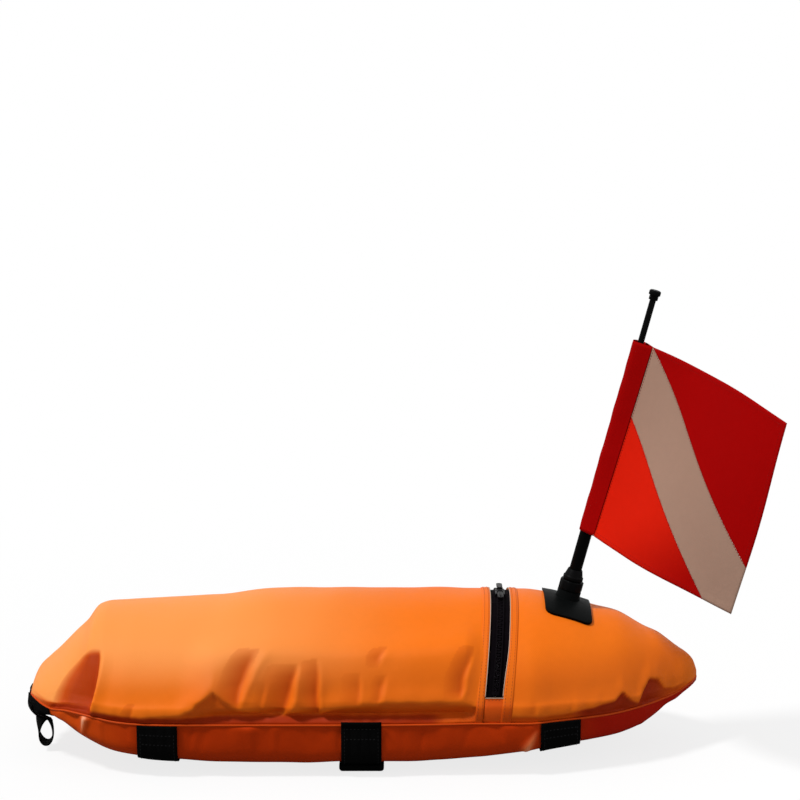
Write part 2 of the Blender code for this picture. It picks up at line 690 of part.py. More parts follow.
def build_teeth(name, side, radius, frame):
    """A rail with moulded teeth that mesh with those of the other side."""
    low, high = chain_radius(radius)
    limit = math.radians(CHAIN_END_DEGREES)
    pitch = 2 * limit / TEETH_PER_SIDE
    shift = 0.0 if side < 0 else pitch / 2
    base, outer = side * RAIL_INNER_EDGE, side * RAIL_OUTER_EDGE
    tip, waist = -side * TOOTH_REACH, side * TOOTH_REACH * TOOTH_WAIST_SHARE
    shape = bmesh.new()

    def corner(across, angle):
        return shape.verts.new((across, angle, 0.0))

    start = [corner(outer, -limit), corner(base, -limit)]
    for tooth in range(TEETH_PER_SIDE):
        middle = -limit + pitch * (tooth + TOOTH_PHASE) + shift
        half, neck = pitch * TOOTH_WIDTH_SHARE / 2, pitch * TOOTH_NECK_SHARE / 2
        foot = [corner(outer, middle - neck), corner(base, middle - neck)]
        head = [corner(outer, middle + neck), corner(base, middle + neck)]
        shape.faces.new((start[0], start[1], foot[1], foot[0]))
        shape.faces.new((foot[0], foot[1], head[1], head[0]))
        bulge = [corner(waist, middle - half), corner(tip, middle - half * TOOTH_TIP_SHARE),
                 corner(tip, middle + half * TOOTH_TIP_SHARE), corner(waist, middle + half)]
        shape.faces.new((foot[1], bulge[0], bulge[3], head[1]))
        shape.faces.new((bulge[0], bulge[1], bulge[2], bulge[3]))
        start = head
    end = [corner(outer, limit), corner(base, limit)]
    if (end[0].co - start[0].co).length > pitch / 100:
        shape.faces.new((start[0], start[1], end[1], end[0]))
    bmesh.ops.recalc_face_normals(shape, faces=shape.faces)
    grown = bmesh.ops.extrude_face_region(shape, geom=list(shape.faces))
    raised = {v for v in grown["geom"] if isinstance(v, bmesh.types.BMVert)}
    for vert in shape.verts:
        across, angle = vert.co.x, vert.co.y
        vert.co = arc_point(across, high if vert in raised else low, angle)
    place_mesh(name, shape, "moulded_plastic", frame, smooth=False)


def build_chain(frame, radius):
    tape_top = radius - COVER_WALL - TAPE_DROP
    for name, side in (("zip_tape_aft", -1), ("zip_tape_fore", 1)):
        edges = sorted((side * TAPE_INNER_EDGE, side * (TAPE_INNER_EDGE + TAPE_WIDTH)))
        arc_strip(name, edges, tape_top - TAPE_THICKNESS, tape_top, ARC_END_DEGREES - 1, "zip_tape", frame)
    build_teeth("zip_teeth_aft", -1, radius, frame)
    build_teeth("zip_teeth_fore", 1, radius, frame)
    low, high = chain_radius(radius)
    for name, side in (("zip_end_stop_near", -1), ("zip_end_stop_far", 1)):
        start = math.radians(CHAIN_END_DEGREES) + FIT_GAP / radius
        angles = [side * start, side * (start + STOP_LENGTH / radius)]
        half = RAIL_OUTER_EDGE
        rings = []
        for angle in angles:
            rings.append([arc_point(x, r, angle) for x, r in
                          ((-half, low), (half, low), (half, high), (half * 0.5, high + TOOTH_HEIGHT * 0.3),
                           (-half * 0.5, high + TOOTH_HEIGHT * 0.3), (-half, high))])
        ring_loft(name, rings, "moulded_plastic", frame)


def build_slider(name, pull_name, side, radius, zip_empty):
    """Upper slider shell with its bail, and the pull that hangs from the bail."""
    low, high = chain_radius(radius)
    height = high - low
    top = height + SLIDER_CLEARANCE
    crest = top + SLIDER_PLATE
    bar = crest + FIT_GAP + PULL_EYE_RADIUS
    rest = side * (SLIDER_LENGTH / 2 + SLIDER_SPACING / 2) / radius
    inner = RAIL_OUTER_EDGE + SLIDER_CLEARANCE
    outer = inner + SLIDER_FLANGE
    tilt = math.radians(ZIP_LEAN_DEGREES) * (1 + math.cos(math.radians(CHAIN_END_DEGREES))) / 2

    travel = empty(name + "_axis", (0, 0, 0), parent=zip_empty)
    travel.rotation_euler = (-rest, 0.0, 0.0)
    chamfer = SLIDER_PLATE * 0.5
    section = [(-outer, SLIDER_CLEARANCE), (-inner, SLIDER_CLEARANCE), (-inner, top), (inner, top),
               (inner, SLIDER_CLEARANCE), (outer, SLIDER_CLEARANCE), (outer, crest - chamfer),
               (outer - chamfer, crest), (-outer + chamfer, crest), (-outer, crest - chamfer)]
    rings = [[Vector((x, y, z)) for x, z in section]
             for y in (-SLIDER_LENGTH / 2, SLIDER_LENGTH / 2)]
    body = ring_loft(name, rings, "black_metal", travel)
    body.location = (0.0, 0.0, low)
    body.rotation_euler = (0.0, -tilt, 0.0)
    for end in (-1, 1):
        edges = sorted((end * BAIL_HALF_WIDTH, end * (BAIL_HALF_WIDTH - BAIL_EAR)))
        ear = block(name + "_ear", (edges[0], -BAIL_LENGTH / 2, crest - SLIDER_PLATE / 2),
                    (edges[1], BAIL_LENGTH / 2, bar + BAIL_BAR_RADIUS * 1.6), None, body)
        combine(body, ear, "UNION")
    span = BAIL_HALF_WIDTH - BAIL_EAR / 2
    rod = ring_loft(name + "_bar", [[Vector((x, BAIL_BAR_RADIUS * math.cos(math.tau * k / 10),
                                             bar + BAIL_BAR_RADIUS * math.sin(math.tau * k / 10)))
                                     for k in range(10)] for x in (-span, span)], None, body)
    combine(body, rod, "UNION")

    hinge = empty(pull_name + "_axis", (0, 0, bar), parent=body)
    eye_half = BAIL_HALF_WIDTH - BAIL_EAR - SLIDER_CLEARANCE
    rings = []
    for k in range(16):
        angle = math.tau * k / 16
        y, z = math.cos(angle), math.sin(angle)
        rings.append([Vector((x, y * r, z * r)) for x, r in
                      ((-eye_half, PULL_EYE_BORE), (eye_half, PULL_EYE_BORE),
                       (eye_half, PULL_EYE_RADIUS), (-eye_half, PULL_EYE_RADIUS))])
    pull = ring_loft(pull_name, rings, "black_metal", hinge, closed=True)
    start = (PULL_EYE_BORE + PULL_EYE_RADIUS) / 2
    half = PULL_WIDTH / 2
    outline = [(-eye_half, start), (eye_half, start), (eye_half, start + half), (half, start + PULL_WIDTH)]
    for step in range(9):
        angle = math.pi * step / 8
        outline.append((half * math.cos(angle), PULL_LENGTH - half + half * math.sin(angle)))
    outline += [(-half, start + PULL_WIDTH), (-eye_half, start + half)]
    outline = [(x, side * y) for x, y in outline]
    drop = Matrix.Translation((0, 0, -PULL_THICKNESS / 2))
    tab = prism(pull_name + "_tab", outline, PULL_THICKNESS, None, hinge, drop)
    combine(pull, tab, "UNION")
    hole = turned(pull_name + "_hole", [(0.0, -half), (PULL_HOLE_RADIUS, -half), (PULL_HOLE_RADIUS, half),
                                        (0.0, half)], None, hinge,
                  centre=(0.0, side * (PULL_LENGTH - half), 0.0))
    combine(pull, hole, "DIFFERENCE")


# Flag base on the deck and the pole in its socket

def base_place():
    return Vector((BASE_X, 0.0, crown_height(BASE_X)))


def build_base(pole_empty):
    """A flange that follows the deck, with a round socket along the pole axis."""
    rows_high, rows_low = [], []
    half_x, half_y, corner = FLANGE_LENGTH / 2, FLANGE_SPAN / 2, FLANGE_CORNER_RADIUS
    bend = [half_y - corner * (1 - math.sin(math.pi / 2 * k / 4)) for k in range(5)]
    across = sorted([-y for y in bend] + [half_y * part for part in (-0.55, -0.3, 0.0, 0.3, 0.55)] + bend)
    for y in across:
        reach = max(abs(y) - (half_y - corner), 0.0)
        edge = half_x - corner + math.sqrt(max(corner ** 2 - reach ** 2, 0.0))
        columns = [BASE_X + edge * part for part in (-1.0, -0.6, -0.25, 0.1, 0.45, 0.75, 1.0)]
        slope = y / (half_width(BASE_X) * ARC_WIDTH_SHARE)
        out = Vector((0.0, slope, math.sqrt(1 - slope ** 2)))
        surface = [Vector((x, y, deck_height(x, y))) for x in columns]
        rows_low.append([p + out * FIT_GAP for p in surface])
        rows_high.append([p + out * (FIT_GAP + FLANGE_THICKNESS) for p in surface])
    base = slab("flag_base", rows_high, rows_low, "pole_plastic")
    start = FLANGE_THICKNESS / 2
    seat = NECK_TOP - SEAL_HEIGHT - FIT_GAP
    socket = turned("base_socket", [
        (0.0, start), (BOSS_RADIUS * 1.06, start), (BOSS_RADIUS * 1.06, FLANGE_THICKNESS * 1.2),
        (BOSS_RADIUS, FLANGE_THICKNESS * 1.9), (BOSS_RADIUS, BOSS_TOP), (NECK_RADIUS, BOSS_TOP),
        (NECK_RADIUS, NECK_TOP), (SEAL_SEAT_RADIUS, NECK_TOP), (SEAL_SEAT_RADIUS, seat), (SOCKET_BORE, seat),
        (SOCKET_BORE, SOCKET_FLOOR), (0.0, SOCKET_FLOOR)], None, pole_empty)
    combine(base, socket, "UNION")
    bore = turned("base_bore", [(0.0, SOCKET_FLOOR), (SOCKET_BORE, SOCKET_FLOOR), (SOCKET_BORE, BOSS_TOP),
                                (0.0, BOSS_TOP)], None, pole_empty)
    combine(base, bore, "DIFFERENCE")

    turned("socket_seal", [
        (TUBE_RADIUS + FIT_GAP, seat + FIT_GAP), (SEAL_SEAT_RADIUS - FIT_GAP, seat + FIT_GAP),
        (SEAL_SEAT_RADIUS - FIT_GAP, NECK_TOP), (TUBE_RADIUS + FIT_GAP, NECK_TOP)], "rubber", pole_empty)


def lock_ring_top():
    return NECK_TOP + FIT_GAP + LOCK_RING_LIP


def build_lock_ring(pole_empty):
    low = BOSS_TOP + FIT_GAP * 2
    top = lock_ring_top()
    bevel = LOCK_RING_LIP * 0.4
    lip = TUBE_RADIUS + SLIP_GAP
    turned("lock_ring", [
        (LOCK_RING_BORE, low), (LOCK_RING_RADIUS - bevel, low), (LOCK_RING_RADIUS, low + bevel),
        (LOCK_RING_RADIUS, top - bevel), (LOCK_RING_RADIUS - bevel, top), (lip, top),
        (lip, NECK_TOP + FIT_GAP), (LOCK_RING_BORE, NECK_TOP + FIT_GAP)], "moulded_plastic", pole_empty,
        lobes=LOCK_RING_LOBES, lobe_height=LOCK_RING_LOBE_HEIGHT)


def build_pole(pole_empty):
    foot = SOCKET_FLOOR + FIT_GAP + PLUG_FLANGE + FIT_GAP
    top = foot + TUBE_LENGTH
    turned("pole_tube", [(TUBE_BORE, foot), (TUBE_RADIUS, foot), (TUBE_RADIUS, top), (TUBE_BORE, top)],
           "pole_plastic", pole_empty)
    plug = TUBE_BORE - FIT_GAP
    low = foot - FIT_GAP - PLUG_FLANGE
    turned("pole_foot_plug", [
        (0.0, low), (TUBE_RADIUS * 0.9, low), (TUBE_RADIUS, low + PLUG_FLANGE / 2),
        (TUBE_RADIUS, low + PLUG_FLANGE), (plug, low + PLUG_FLANGE), (plug * 0.96, low + PLUG_LENGTH),
        (0.0, low + PLUG_LENGTH)], "rubber", pole_empty)
    collar = lock_ring_top() + FIT_GAP
    bore = TUBE_RADIUS + FIT_GAP
    brim = COLLAR_HEIGHT * 0.2
    turned("pole_collar", [
        (bore, collar), (COLLAR_RADIUS - brim, collar), (COLLAR_RADIUS, collar + brim),
        (COLLAR_RADIUS, collar + COLLAR_HEIGHT - brim), (COLLAR_RADIUS - brim, collar + COLLAR_HEIGHT),
        (TUBE_RADIUS + brim, collar + COLLAR_HEIGHT + COLLAR_CONE), (bore, collar + COLLAR_HEIGHT + COLLAR_CONE)],
        "moulded_plastic", pole_empty)
    guide = ROD_RADIUS + FIT_GAP
    head = top + FIT_GAP
    turned("pole_bushing", [
        (guide, head - BUSHING_SPIGOT), (plug, head - BUSHING_SPIGOT), (plug, head), (TUBE_RADIUS, head),
        (TUBE_RADIUS, head + BUSHING_FLANGE * 0.7), (TUBE_RADIUS * 0.75, head + BUSHING_FLANGE),
        (guide, head + BUSHING_FLANGE)], "moulded_plastic", pole_empty)

    start = ROD_FOOT_START + ROD_FOOT_HEIGHT + FIT_GAP
    turned("pole_rod", [(0.0, start), (ROD_RADIUS, start), (ROD_RADIUS, ROD_TOP), (0.0, ROD_TOP)],
           "pole_plastic", pole_empty)
    chamfer = ROD_FOOT_HEIGHT * 0.2
    turned("rod_foot", [
        (0.0, ROD_FOOT_START), (plug - chamfer, ROD_FOOT_START), (plug, ROD_FOOT_START + chamfer),
        (plug, ROD_FOOT_START + ROD_FOOT_HEIGHT - chamfer), (plug - chamfer, ROD_FOOT_START + ROD_FOOT_HEIGHT),
        (0.0, ROD_FOOT_START + ROD_FOOT_HEIGHT)], "moulded_plastic", pole_empty)
    socket = ROD_RADIUS + FIT_GAP
    low = ROD_TOP - CAP_NECK_HEIGHT
    turned("pole_cap", [
        (socket, low), (CAP_NECK_RADIUS, low), (CAP_NECK_RADIUS, ROD_TOP), (CAP_RADIUS, ROD_TOP + FIT_GAP),
        (CAP_RADIUS, ROD_TOP + CAP_HEIGHT * 0.8), (CAP_RADIUS * 0.8, ROD_TOP + CAP_HEIGHT),
        (0.0, ROD_TOP + CAP_HEIGHT), (0.0, ROD_TOP + FIT_GAP), (socket, ROD_TOP + FIT_GAP)],
        "moulded_plastic", pole_empty)


# Flag cloth: a ruled surface whose direction turns along the fly

def fly_direction(along, down):
    """Angle from the bow side towards the near side, at shares of the fly and the hoist."""
    hoist = FLY_TURN_DEGREES["top_hoist"] * (1 - down) + FLY_TURN_DEGREES["low_hoist"] * down
    fly = FLY_TURN_DEGREES["top_fly"] * (1 - down) + FLY_TURN_DEGREES["low_fly"] * down
    return math.radians(hoist + (fly - hoist) * along)


def flag_point(along, drop):
    """A point of the cloth in the pole frame, from distances along the fly and down the hoist."""
    down = drop / FLAG_HOIST
    x = y = 0.0
    parts = 12
    for part in range(parts):
        angle = fly_direction((part + 0.5) / parts * along / FLAG_FLY, down)
        x += along / parts * math.cos(angle)
        y -= along / parts * math.sin(angle)
    sag = (FLY_SAG_TOP * (1 - down) + FLY_SAG_LOW * down) * (along / FLAG_FLY) ** 2
    return Vector((x, y, FLAG_LIFT + FLAG_HOIST - drop - sag))


def build_sleeve(pole_empty):
    """The hoist sleeve: a bore round the pole and a doubled tail to its seam."""
    rings = []
    outer_radius = SLEEVE_BORE + SLEEVE_WALL
    tail = SLEEVE_SEAM - FIT_GAP / 2
    count = 18
    for row in range(FLAG_ROWS + 1):
        down = row / FLAG_ROWS
        height = FLAG_LIFT + FLAG_HOIST * (1 - down)
        turn = fly_direction(0.0, down)
        heading = Vector((math.cos(turn), -math.sin(turn), 0.0))
        side = Vector((math.sin(turn), math.cos(turn), 0.0))
        middle = Vector((0.0, 0.0, height))
        tip = flag_point(tail, FLAG_HOIST * down) - middle
        ring_out, ring_in = [], []
        for k in range(count):
            angle = math.tau * (k + 0.5) / count
            ring_in.append(middle + (heading * math.cos(angle) + side * math.sin(angle)) * SLEEVE_BORE)
            if k == 0:
                ring_out.append(middle + tip + side * CLOTH_THICKNESS)
            elif k == count - 1:
                ring_out.append(middle + tip - side * CLOTH_THICKNESS)
            else:
                ring_out.append(middle + (heading * math.cos(angle) + side * math.sin(angle)) * outer_radius)
        rings.append((ring_out, ring_in))
    shape = bmesh.new()
    loops = [[[shape.verts.new(p) for p in ring] for ring in pair] for pair in rings]
    for level, following in zip(loops, loops[1:]):
        for wall in (0, 1):
            for k in range(count):
                j = (k + 1) % count
                shape.faces.new((level[wall][k], level[wall][j], following[wall][j], following[wall][k]))
    for level in (loops[0], loops[-1]):
        for k in range(count):
            j = (k + 1) % count
            shape.faces.new((level[0][k], level[0][j], level[1][j], level[1][k]))
    place_mesh("flag_sleeve", shape, "flag_red", pole_empty)


def build_flag_panel(name, cuts, material, pole_empty):
    """Cuts one piece out of the whole cloth in the flat, then lays it on the flag's surface."""
    shape = bmesh.new()
    start = SLEEVE_SEAM + FIT_GAP / 2
    bmesh.ops.create_grid(shape, x_segments=FLAG_COLUMNS, y_segments=FLAG_ROWS, size=0.5)
    for vert in shape.verts:
        vert.co.x = start + (FLAG_FLY - start) * (vert.co.x + 0.5)
        vert.co.y = FLAG_HOIST * (0.5 - vert.co.y)
    for place, out in cuts:
        geometry = list(shape.verts) + list(shape.edges) + list(shape.faces)
        bmesh.ops.bisect_plane(shape, geom=geometry, dist=FIT_GAP / 100, plane_co=place, plane_no=out,
                               clear_outer=True)
    for vert in shape.verts:
        vert.co = flag_point(vert.co.x, vert.co.y)
    panel = place_mesh(name, shape, material, pole_empty)
    wall = panel.modifiers.new("cloth", "SOLIDIFY")
    wall.thickness = CLOTH_THICKNESS
    wall.offset = 0.0


def build_flag(pole_empty):
    start = SLEEVE_SEAM
    upper = (Vector((start, 0.0, 0.0)), Vector((FLAG_FLY, FLAG_HOIST * STRIPE_TOP_SHARE, 0.0)))
    lower = (Vector((start, FLAG_HOIST * STRIPE_LOW_SHARE, 0.0)),
             Vector((FLAG_FLY * STRIPE_FOOT_SHARE, FLAG_HOIST, 0.0)))

    def line(ends, sign, gap):
        run = (ends[1] - ends[0]).normalized()
        out = Vector((run.y, -run.x, 0.0)) * sign
        return ends[0] - out * gap, out

    seam = FIT_GAP / 2
    build_flag_panel("flag_panel_fly", [line(upper, -1, seam)], "flag_red", pole_empty)
    build_flag_panel("flag_stripe", [line(upper, 1, seam), line(lower, -1, seam)], "flag_white", pole_empty)
    build_flag_panel("flag_panel_hoist", [line(lower, 1, seam)], "flag_red", pole_empty)
    build_sleeve(pole_empty)


# Tow loop

def seam_place(y, out):
    """A place on the stern seam at a distance y from the middle line, moved outwards."""
    low, high = -HALF_LENGTH, -HALF_LENGTH * 0.8
    for repeat in range(40):
        middle = (low + high) / 2
        if half_width(middle) < abs(y):
            low = middle
        else:
            high = middle
    here = Vector((high, y, 0.0))
    step = HALF_LENGTH / 200
    run = Vector((step, math.copysign(half_width(high + step) - half_width(high), y), 0.0)).normalized()
    normal = Vector((-abs(run.y), math.copysign(abs(run.x), y), 0.0))
    return here + normal * out


def build_tow_loop():
    """A tab sewn along the stern seam that narrows into a hanging loop."""
    clear = BEAD_RADIUS + LOOP_SEAM_GAP
    start = seam_place(-LOOP_TAB_START, clear)
    end = seam_place(-LOOP_TAB_END, clear)
    top = Vector((0.0, 0.0, SEAM_HEIGHT))
    hinge_place = (start + end) / 2 + top
    run = (end - start).normalized()
    out = Vector((run.y, -run.x, 0.0))
    hinge = empty("tow_loop_axis", hinge_place)

    columns = 7
    rows_out, rows_in = [], []
    low_middle = (start + end) / 2 + Vector((LOOP_SHIFT, 0.0, 0.0)) * LOOP_TAB_SHIFT_SHARE
    for row in range(4):
        part = row / 3
        height = SEAM_HEIGHT - LOOP_TAB_DROP * part
        outer_row, inner_row = [], []
        for column in range(columns):
            share = column / (columns - 1)
            y = LOOP_TAB_START + (LOOP_TAB_END - LOOP_TAB_START) * share
            upper = seam_place(-y, clear)
            lower = low_middle + run * LOOP_TAB_LOW_WIDTH * (share - 0.5)
            place = upper.lerp(lower, part ** 3)
            place.z = height
            inner_row.append(place - hinge_place)
            outer_row.append(place + out * LOOP_WEB_THICKNESS - hinge_place)
        rows_out.append(outer_row)
        rows_in.append(inner_row)
    loop = slab("tow_loop", rows_out, rows_in, "webbing", hinge)

    centre = low_middle + out * LOOP_WEB_THICKNESS / 2 - hinge_place
    hanging_shift = LOOP_SHIFT * (1 - LOOP_TAB_SHIFT_SHARE)
    centre.x += hanging_shift
    centre.z = -LOOP_TAB_DROP + LOOP_WEB_THICKNESS - LOOP_HEIGHT / 2
    rings = []
    for step in range(LOOP_STEPS):
        angle = math.tau * step / LOOP_STEPS
        narrow = 1 - LOOP_TOP_NARROW * math.cos(angle)
        spot = Vector((LOOP_HALF_WIDTH * math.sin(angle) * narrow, 0.0, LOOP_HEIGHT / 2 * math.cos(angle)))
        spot.x -= hanging_shift * (1 + math.cos(angle)) / 2
        ahead = Vector((math.cos(angle) * LOOP_HALF_WIDTH, 0.0, -math.sin(angle) * LOOP_HEIGHT / 2)).normalized()
        normal = Vector((-ahead.z, 0.0, ahead.x))
        wide = run.lerp(Vector((0.0, -1.0, 0.0)), (1 - math.cos(angle)) / 2).normalized()
        half_web = LOOP_WEB_WIDTH / 2 * (1 + LOOP_TOP_WIDEN * math.cos(angle))
        half_thick = LOOP_WEB_THICKNESS / 2
        rings.append([centre + spot + wide * a + normal * b for a, b in
                      ((-half_web, -half_thick), (half_web, -half_thick), (half_web, half_thick),
                       (-half_web, half_thick))])
    strand = ring_loft("tow_loop_strand", rings, None, hinge, closed=True)
    combine(loop, strand, "UNION")


# Bladder and its valve

def bladder_dip(x):
    """How far the bladder's crown dips under the zip, to make room for the valve."""
    slope = (BLADDER_ZIP_REACH - abs(x - ZIP_X)) / (BLADDER_ZIP_REACH - BLADDER_ZIP_FLAT)
    near = min(max(slope, 0.0), 1.0)
    return BLADDER_ZIP_DROP * near * near * (3 - 2 * near)


def bladder_ring(x, inset):
    """Points round the bladder: the cover's own section, drawn in from its sides, floor and crown."""
    seam, skin = seam_height(x), COVER_WALL + inset
    width = 1 - (skin + BLADDER_SIDE_GAP) / half_width(x)
    under = 1 - (skin + BLADDER_FLOOR_GAP) / keel_depth(x)
    over = 1 - (skin + BLADDER_TOP_GAP + bladder_dip(x)) / deck_rise(x)
    ring = [(y, z, under) for y, z in hull_section(x)[::2][1:-1]]
    ring += [(y, z, over) for y, z in reversed(deck_section(x)[1:-1:2])]
    return [Vector((x, y * width, seam + (z - seam) * rise)) for y, z, rise in ring]


def build_bladder():
    places = [HALF_LENGTH * share for share in BLADDER_STATION_SHARES]
    places += [ZIP_X - BLADDER_ZIP_REACH, ZIP_X - BLADDER_ZIP_FLAT, ZIP_X + BLADDER_ZIP_FLAT,
               ZIP_X + BLADDER_ZIP_REACH]
    places += [HALF_LENGTH * share for share in BLADDER_BOW_SHARES]
    bladder = ring_loft("bladder", [bladder_ring(x, 0.0) for x in places], "bladder_film")
    inside = [places[0] + BLADDER_WALL] + places[1:-1] + [places[-1] - BLADDER_WALL]
    hollow = ring_loft("bladder_hollow", [bladder_ring(x, BLADDER_WALL) for x in inside], None)
    combine(bladder, hollow, "DIFFERENCE")

    crown = max(place.z for place in bladder_ring(ZIP_X, 0.0))
    axis = empty("valve_axis", (ZIP_X, 0.0, crown))
    port = turned("bladder_port", [(0.0, -VALVE_PORT_REACH), (VALVE_BORE, -VALVE_PORT_REACH),
                                   (VALVE_BORE, VALVE_PORT_REACH), (0.0, VALVE_PORT_REACH)], None, axis)
    combine(bladder, port, "DIFFERENCE")
    base = FIT_GAP
    mouth = base + VALVE_HEIGHT
    turned("bladder_valve", [
        (VALVE_BORE, base), (VALVE_FLANGE_RADIUS, base), (VALVE_FLANGE_RADIUS, base + VALVE_FLANGE),
        (VALVE_RADIUS, base + VALVE_FLANGE), (VALVE_RADIUS, mouth), (VALVE_BORE, mouth)],
        "moulded_plastic", axis)
    skirt = VALVE_RADIUS + FIT_GAP
    turned("valve_cap", [
        (skirt, mouth - VALVE_HEIGHT * 0.5), (VALVE_CAP_RADIUS, mouth - VALVE_HEIGHT * 0.5),
        (VALVE_CAP_RADIUS, mouth + CAP_TOP * 0.5), (VALVE_CAP_RADIUS - CAP_TOP / 2, mouth + FIT_GAP + CAP_TOP),
        (0.0, mouth + FIT_GAP + CAP_TOP), (0.0, mouth + FIT_GAP), (skirt, mouth + FIT_GAP)],
        "moulded_plastic", axis, lobes=8, lobe_height=FIT_GAP)


def build():
    clear_scene()
    build_deck()
    build_hull()
    build_bead()
    build_straps()
    build_pouch()
    zip_empty, radius = zip_frame()
    build_zip_cover()
    build_chain(zip_empty, radius)
    build_slider("zip_slider_near", "zip_pull_near", -1, radius, zip_empty)
    build_slider("zip_slider_far", "zip_pull_far", 1, radius, zip_empty)
    pole_empty = empty("pole_axis", base_place(), POLE_LEAN_DEGREES)
    build_base(pole_empty)
    build_lock_ring(pole_empty)
    build_pole(pole_empty)
    build_flag(pole_empty)
    build_tow_loop()
    build_bladder()


build()
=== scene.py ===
# %% [markdown]
# # A dive flag float
# A swimmer tows this float so that boats can see where the diver is. An orange cover is zipped
# round an air bladder, straps run under its hull, and a red and white flag stands on its deck.
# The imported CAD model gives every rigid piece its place. This lesson dresses it: it sews the
# cover, the straps and the flag as cloth, rounds the moulded pieces, and finishes every surface
# with nodes.

# %% Load the frame
import json
import math
import random
from functools import partial

import bmesh
import bpy
import numpy as np
from mathutils import Matrix, Vector
from mathutils.bvhtree import BVHTree

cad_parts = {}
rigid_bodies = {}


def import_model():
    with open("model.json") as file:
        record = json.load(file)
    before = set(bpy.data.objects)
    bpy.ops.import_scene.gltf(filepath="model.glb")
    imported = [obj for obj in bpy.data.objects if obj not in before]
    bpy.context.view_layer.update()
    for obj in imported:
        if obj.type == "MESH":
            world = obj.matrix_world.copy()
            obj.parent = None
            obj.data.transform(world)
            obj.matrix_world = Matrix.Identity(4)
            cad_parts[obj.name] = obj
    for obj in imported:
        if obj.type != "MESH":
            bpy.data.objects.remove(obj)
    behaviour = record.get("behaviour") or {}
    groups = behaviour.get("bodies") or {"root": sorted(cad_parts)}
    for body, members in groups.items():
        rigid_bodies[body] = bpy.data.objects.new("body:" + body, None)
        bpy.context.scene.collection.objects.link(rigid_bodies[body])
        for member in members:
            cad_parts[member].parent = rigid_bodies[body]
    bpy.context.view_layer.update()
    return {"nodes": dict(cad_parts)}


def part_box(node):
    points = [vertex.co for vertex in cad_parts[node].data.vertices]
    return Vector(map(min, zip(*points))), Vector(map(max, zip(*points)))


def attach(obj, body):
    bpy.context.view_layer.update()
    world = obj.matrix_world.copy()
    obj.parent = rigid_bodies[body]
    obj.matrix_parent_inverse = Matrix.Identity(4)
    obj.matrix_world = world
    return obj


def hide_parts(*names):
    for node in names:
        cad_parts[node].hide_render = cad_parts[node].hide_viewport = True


for leftover in list(bpy.data.objects):
    bpy.data.objects.remove(leftover, do_unlink=True)
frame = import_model()
nodes = frame["nodes"]

# %% [markdown]
# ## Camera, floor and light
# The photograph looks down on the float by about twelve degrees from three and a half metres away.
# A long lens keeps the far side of the float nearly as large as the near side, so the camera stands
# well back. The camera is placed from the point of the picture where the float's foot stands.

# %% Place the camera
scene = bpy.context.scene
PICTURE_PIXELS = 800
METRES_PER_PIXEL = 0.001297
FOOT_PIXEL = (363, 739)
CAMERA_DISTANCE = 3.5
CAMERA_TILT = math.radians(12.0)
SENSOR = 0.036

right_shift = (PICTURE_PIXELS / 2 - FOOT_PIXEL[0]) * METRES_PER_PIXEL
up_shift = (FOOT_PIXEL[1] - PICTURE_PIXELS / 2) * METRES_PER_PIXEL
view_forward = Vector((0.0, math.cos(CAMERA_TILT), -math.sin(CAMERA_TILT)))
view_up = Vector((0.0, math.sin(CAMERA_TILT), math.cos(CAMERA_TILT)))
camera = bpy.data.objects.new("camera", bpy.data.cameras.new("camera"))
scene.collection.objects.link(camera)
aim = Vector((right_shift, 0.0, 0.0)) + view_up * up_shift
camera.location = aim - view_forward * CAMERA_DISTANCE
camera.rotation_euler = (math.pi / 2 - CAMERA_TILT, 0.0, 0.0)
camera.data.sensor_width = SENSOR * 1000
camera.data.lens = SENSOR * 1000 * CAMERA_DISTANCE / (PICTURE_PIXELS * METRES_PER_PIXEL)
scene.camera = camera
scene.view_settings.view_transform = "Standard"
print("camera at", [round(c, 3) for c in camera.location], "lens", round(camera.data.lens, 1))

# %% Lay the floor and hang the lights
FLOOR_SIZE = 14.0
FLOOR_GLOW = {"From Min": 0.35, "From Max": 1.30, "To Min": 0.80}
SKY_LIGHT = 0.36
FLOOR_SEEN, FLOOR_UNSEEN = (0.93, 0.93, 0.93, 1), (0.30, 0.30, 0.30, 1)
MIX_SHARE, MIX_FIRST, MIX_SECOND, MIX_RESULT = 0, 6, 7, 2


def add_node(tree, kind, inputs=(), **settings):
    """A shader node; inputs gives its sockets plain values or the outputs of other nodes."""
    made = tree.nodes.new("ShaderNode" + kind)
    for key, value in settings.items():
        setattr(made, key, value)
    for key, value in dict(inputs).items():
        if isinstance(value, bpy.types.NodeSocket):
            tree.links.new(value, made.inputs[key])
        else:
            made.inputs[key].default_value = value
    return made


def math_node(tree, operation, *values):
    """A Math node whose inputs are sockets or plain numbers."""
    return add_node(tree, "Math", enumerate(values), operation=operation).outputs[0]


def hang(name, kind, place, target, energy):
    """A light at a place, turned towards its target."""
    lamp = bpy.data.objects.new(name, bpy.data.lights.new(name, kind))
    lamp.data.energy = energy
    lamp.location = place
    away = Vector(place) - Vector(target)
    lamp.rotation_euler = away.to_track_quat("Z", "Y").to_euler()
    scene.collection.objects.link(lamp)
    return lamp


def set_down(shape, name):
    """A new mesh from a finished bmesh."""
    mesh = bpy.data.meshes.new(name)
    shape.to_mesh(mesh)
    shape.free()
    return mesh


floor_shape = bmesh.new()
bmesh.ops.create_grid(floor_shape, x_segments=1, y_segments=1, size=FLOOR_SIZE)
floor = bpy.data.objects.new("floor", set_down(floor_shape, "floor"))
scene.collection.objects.link(floor)

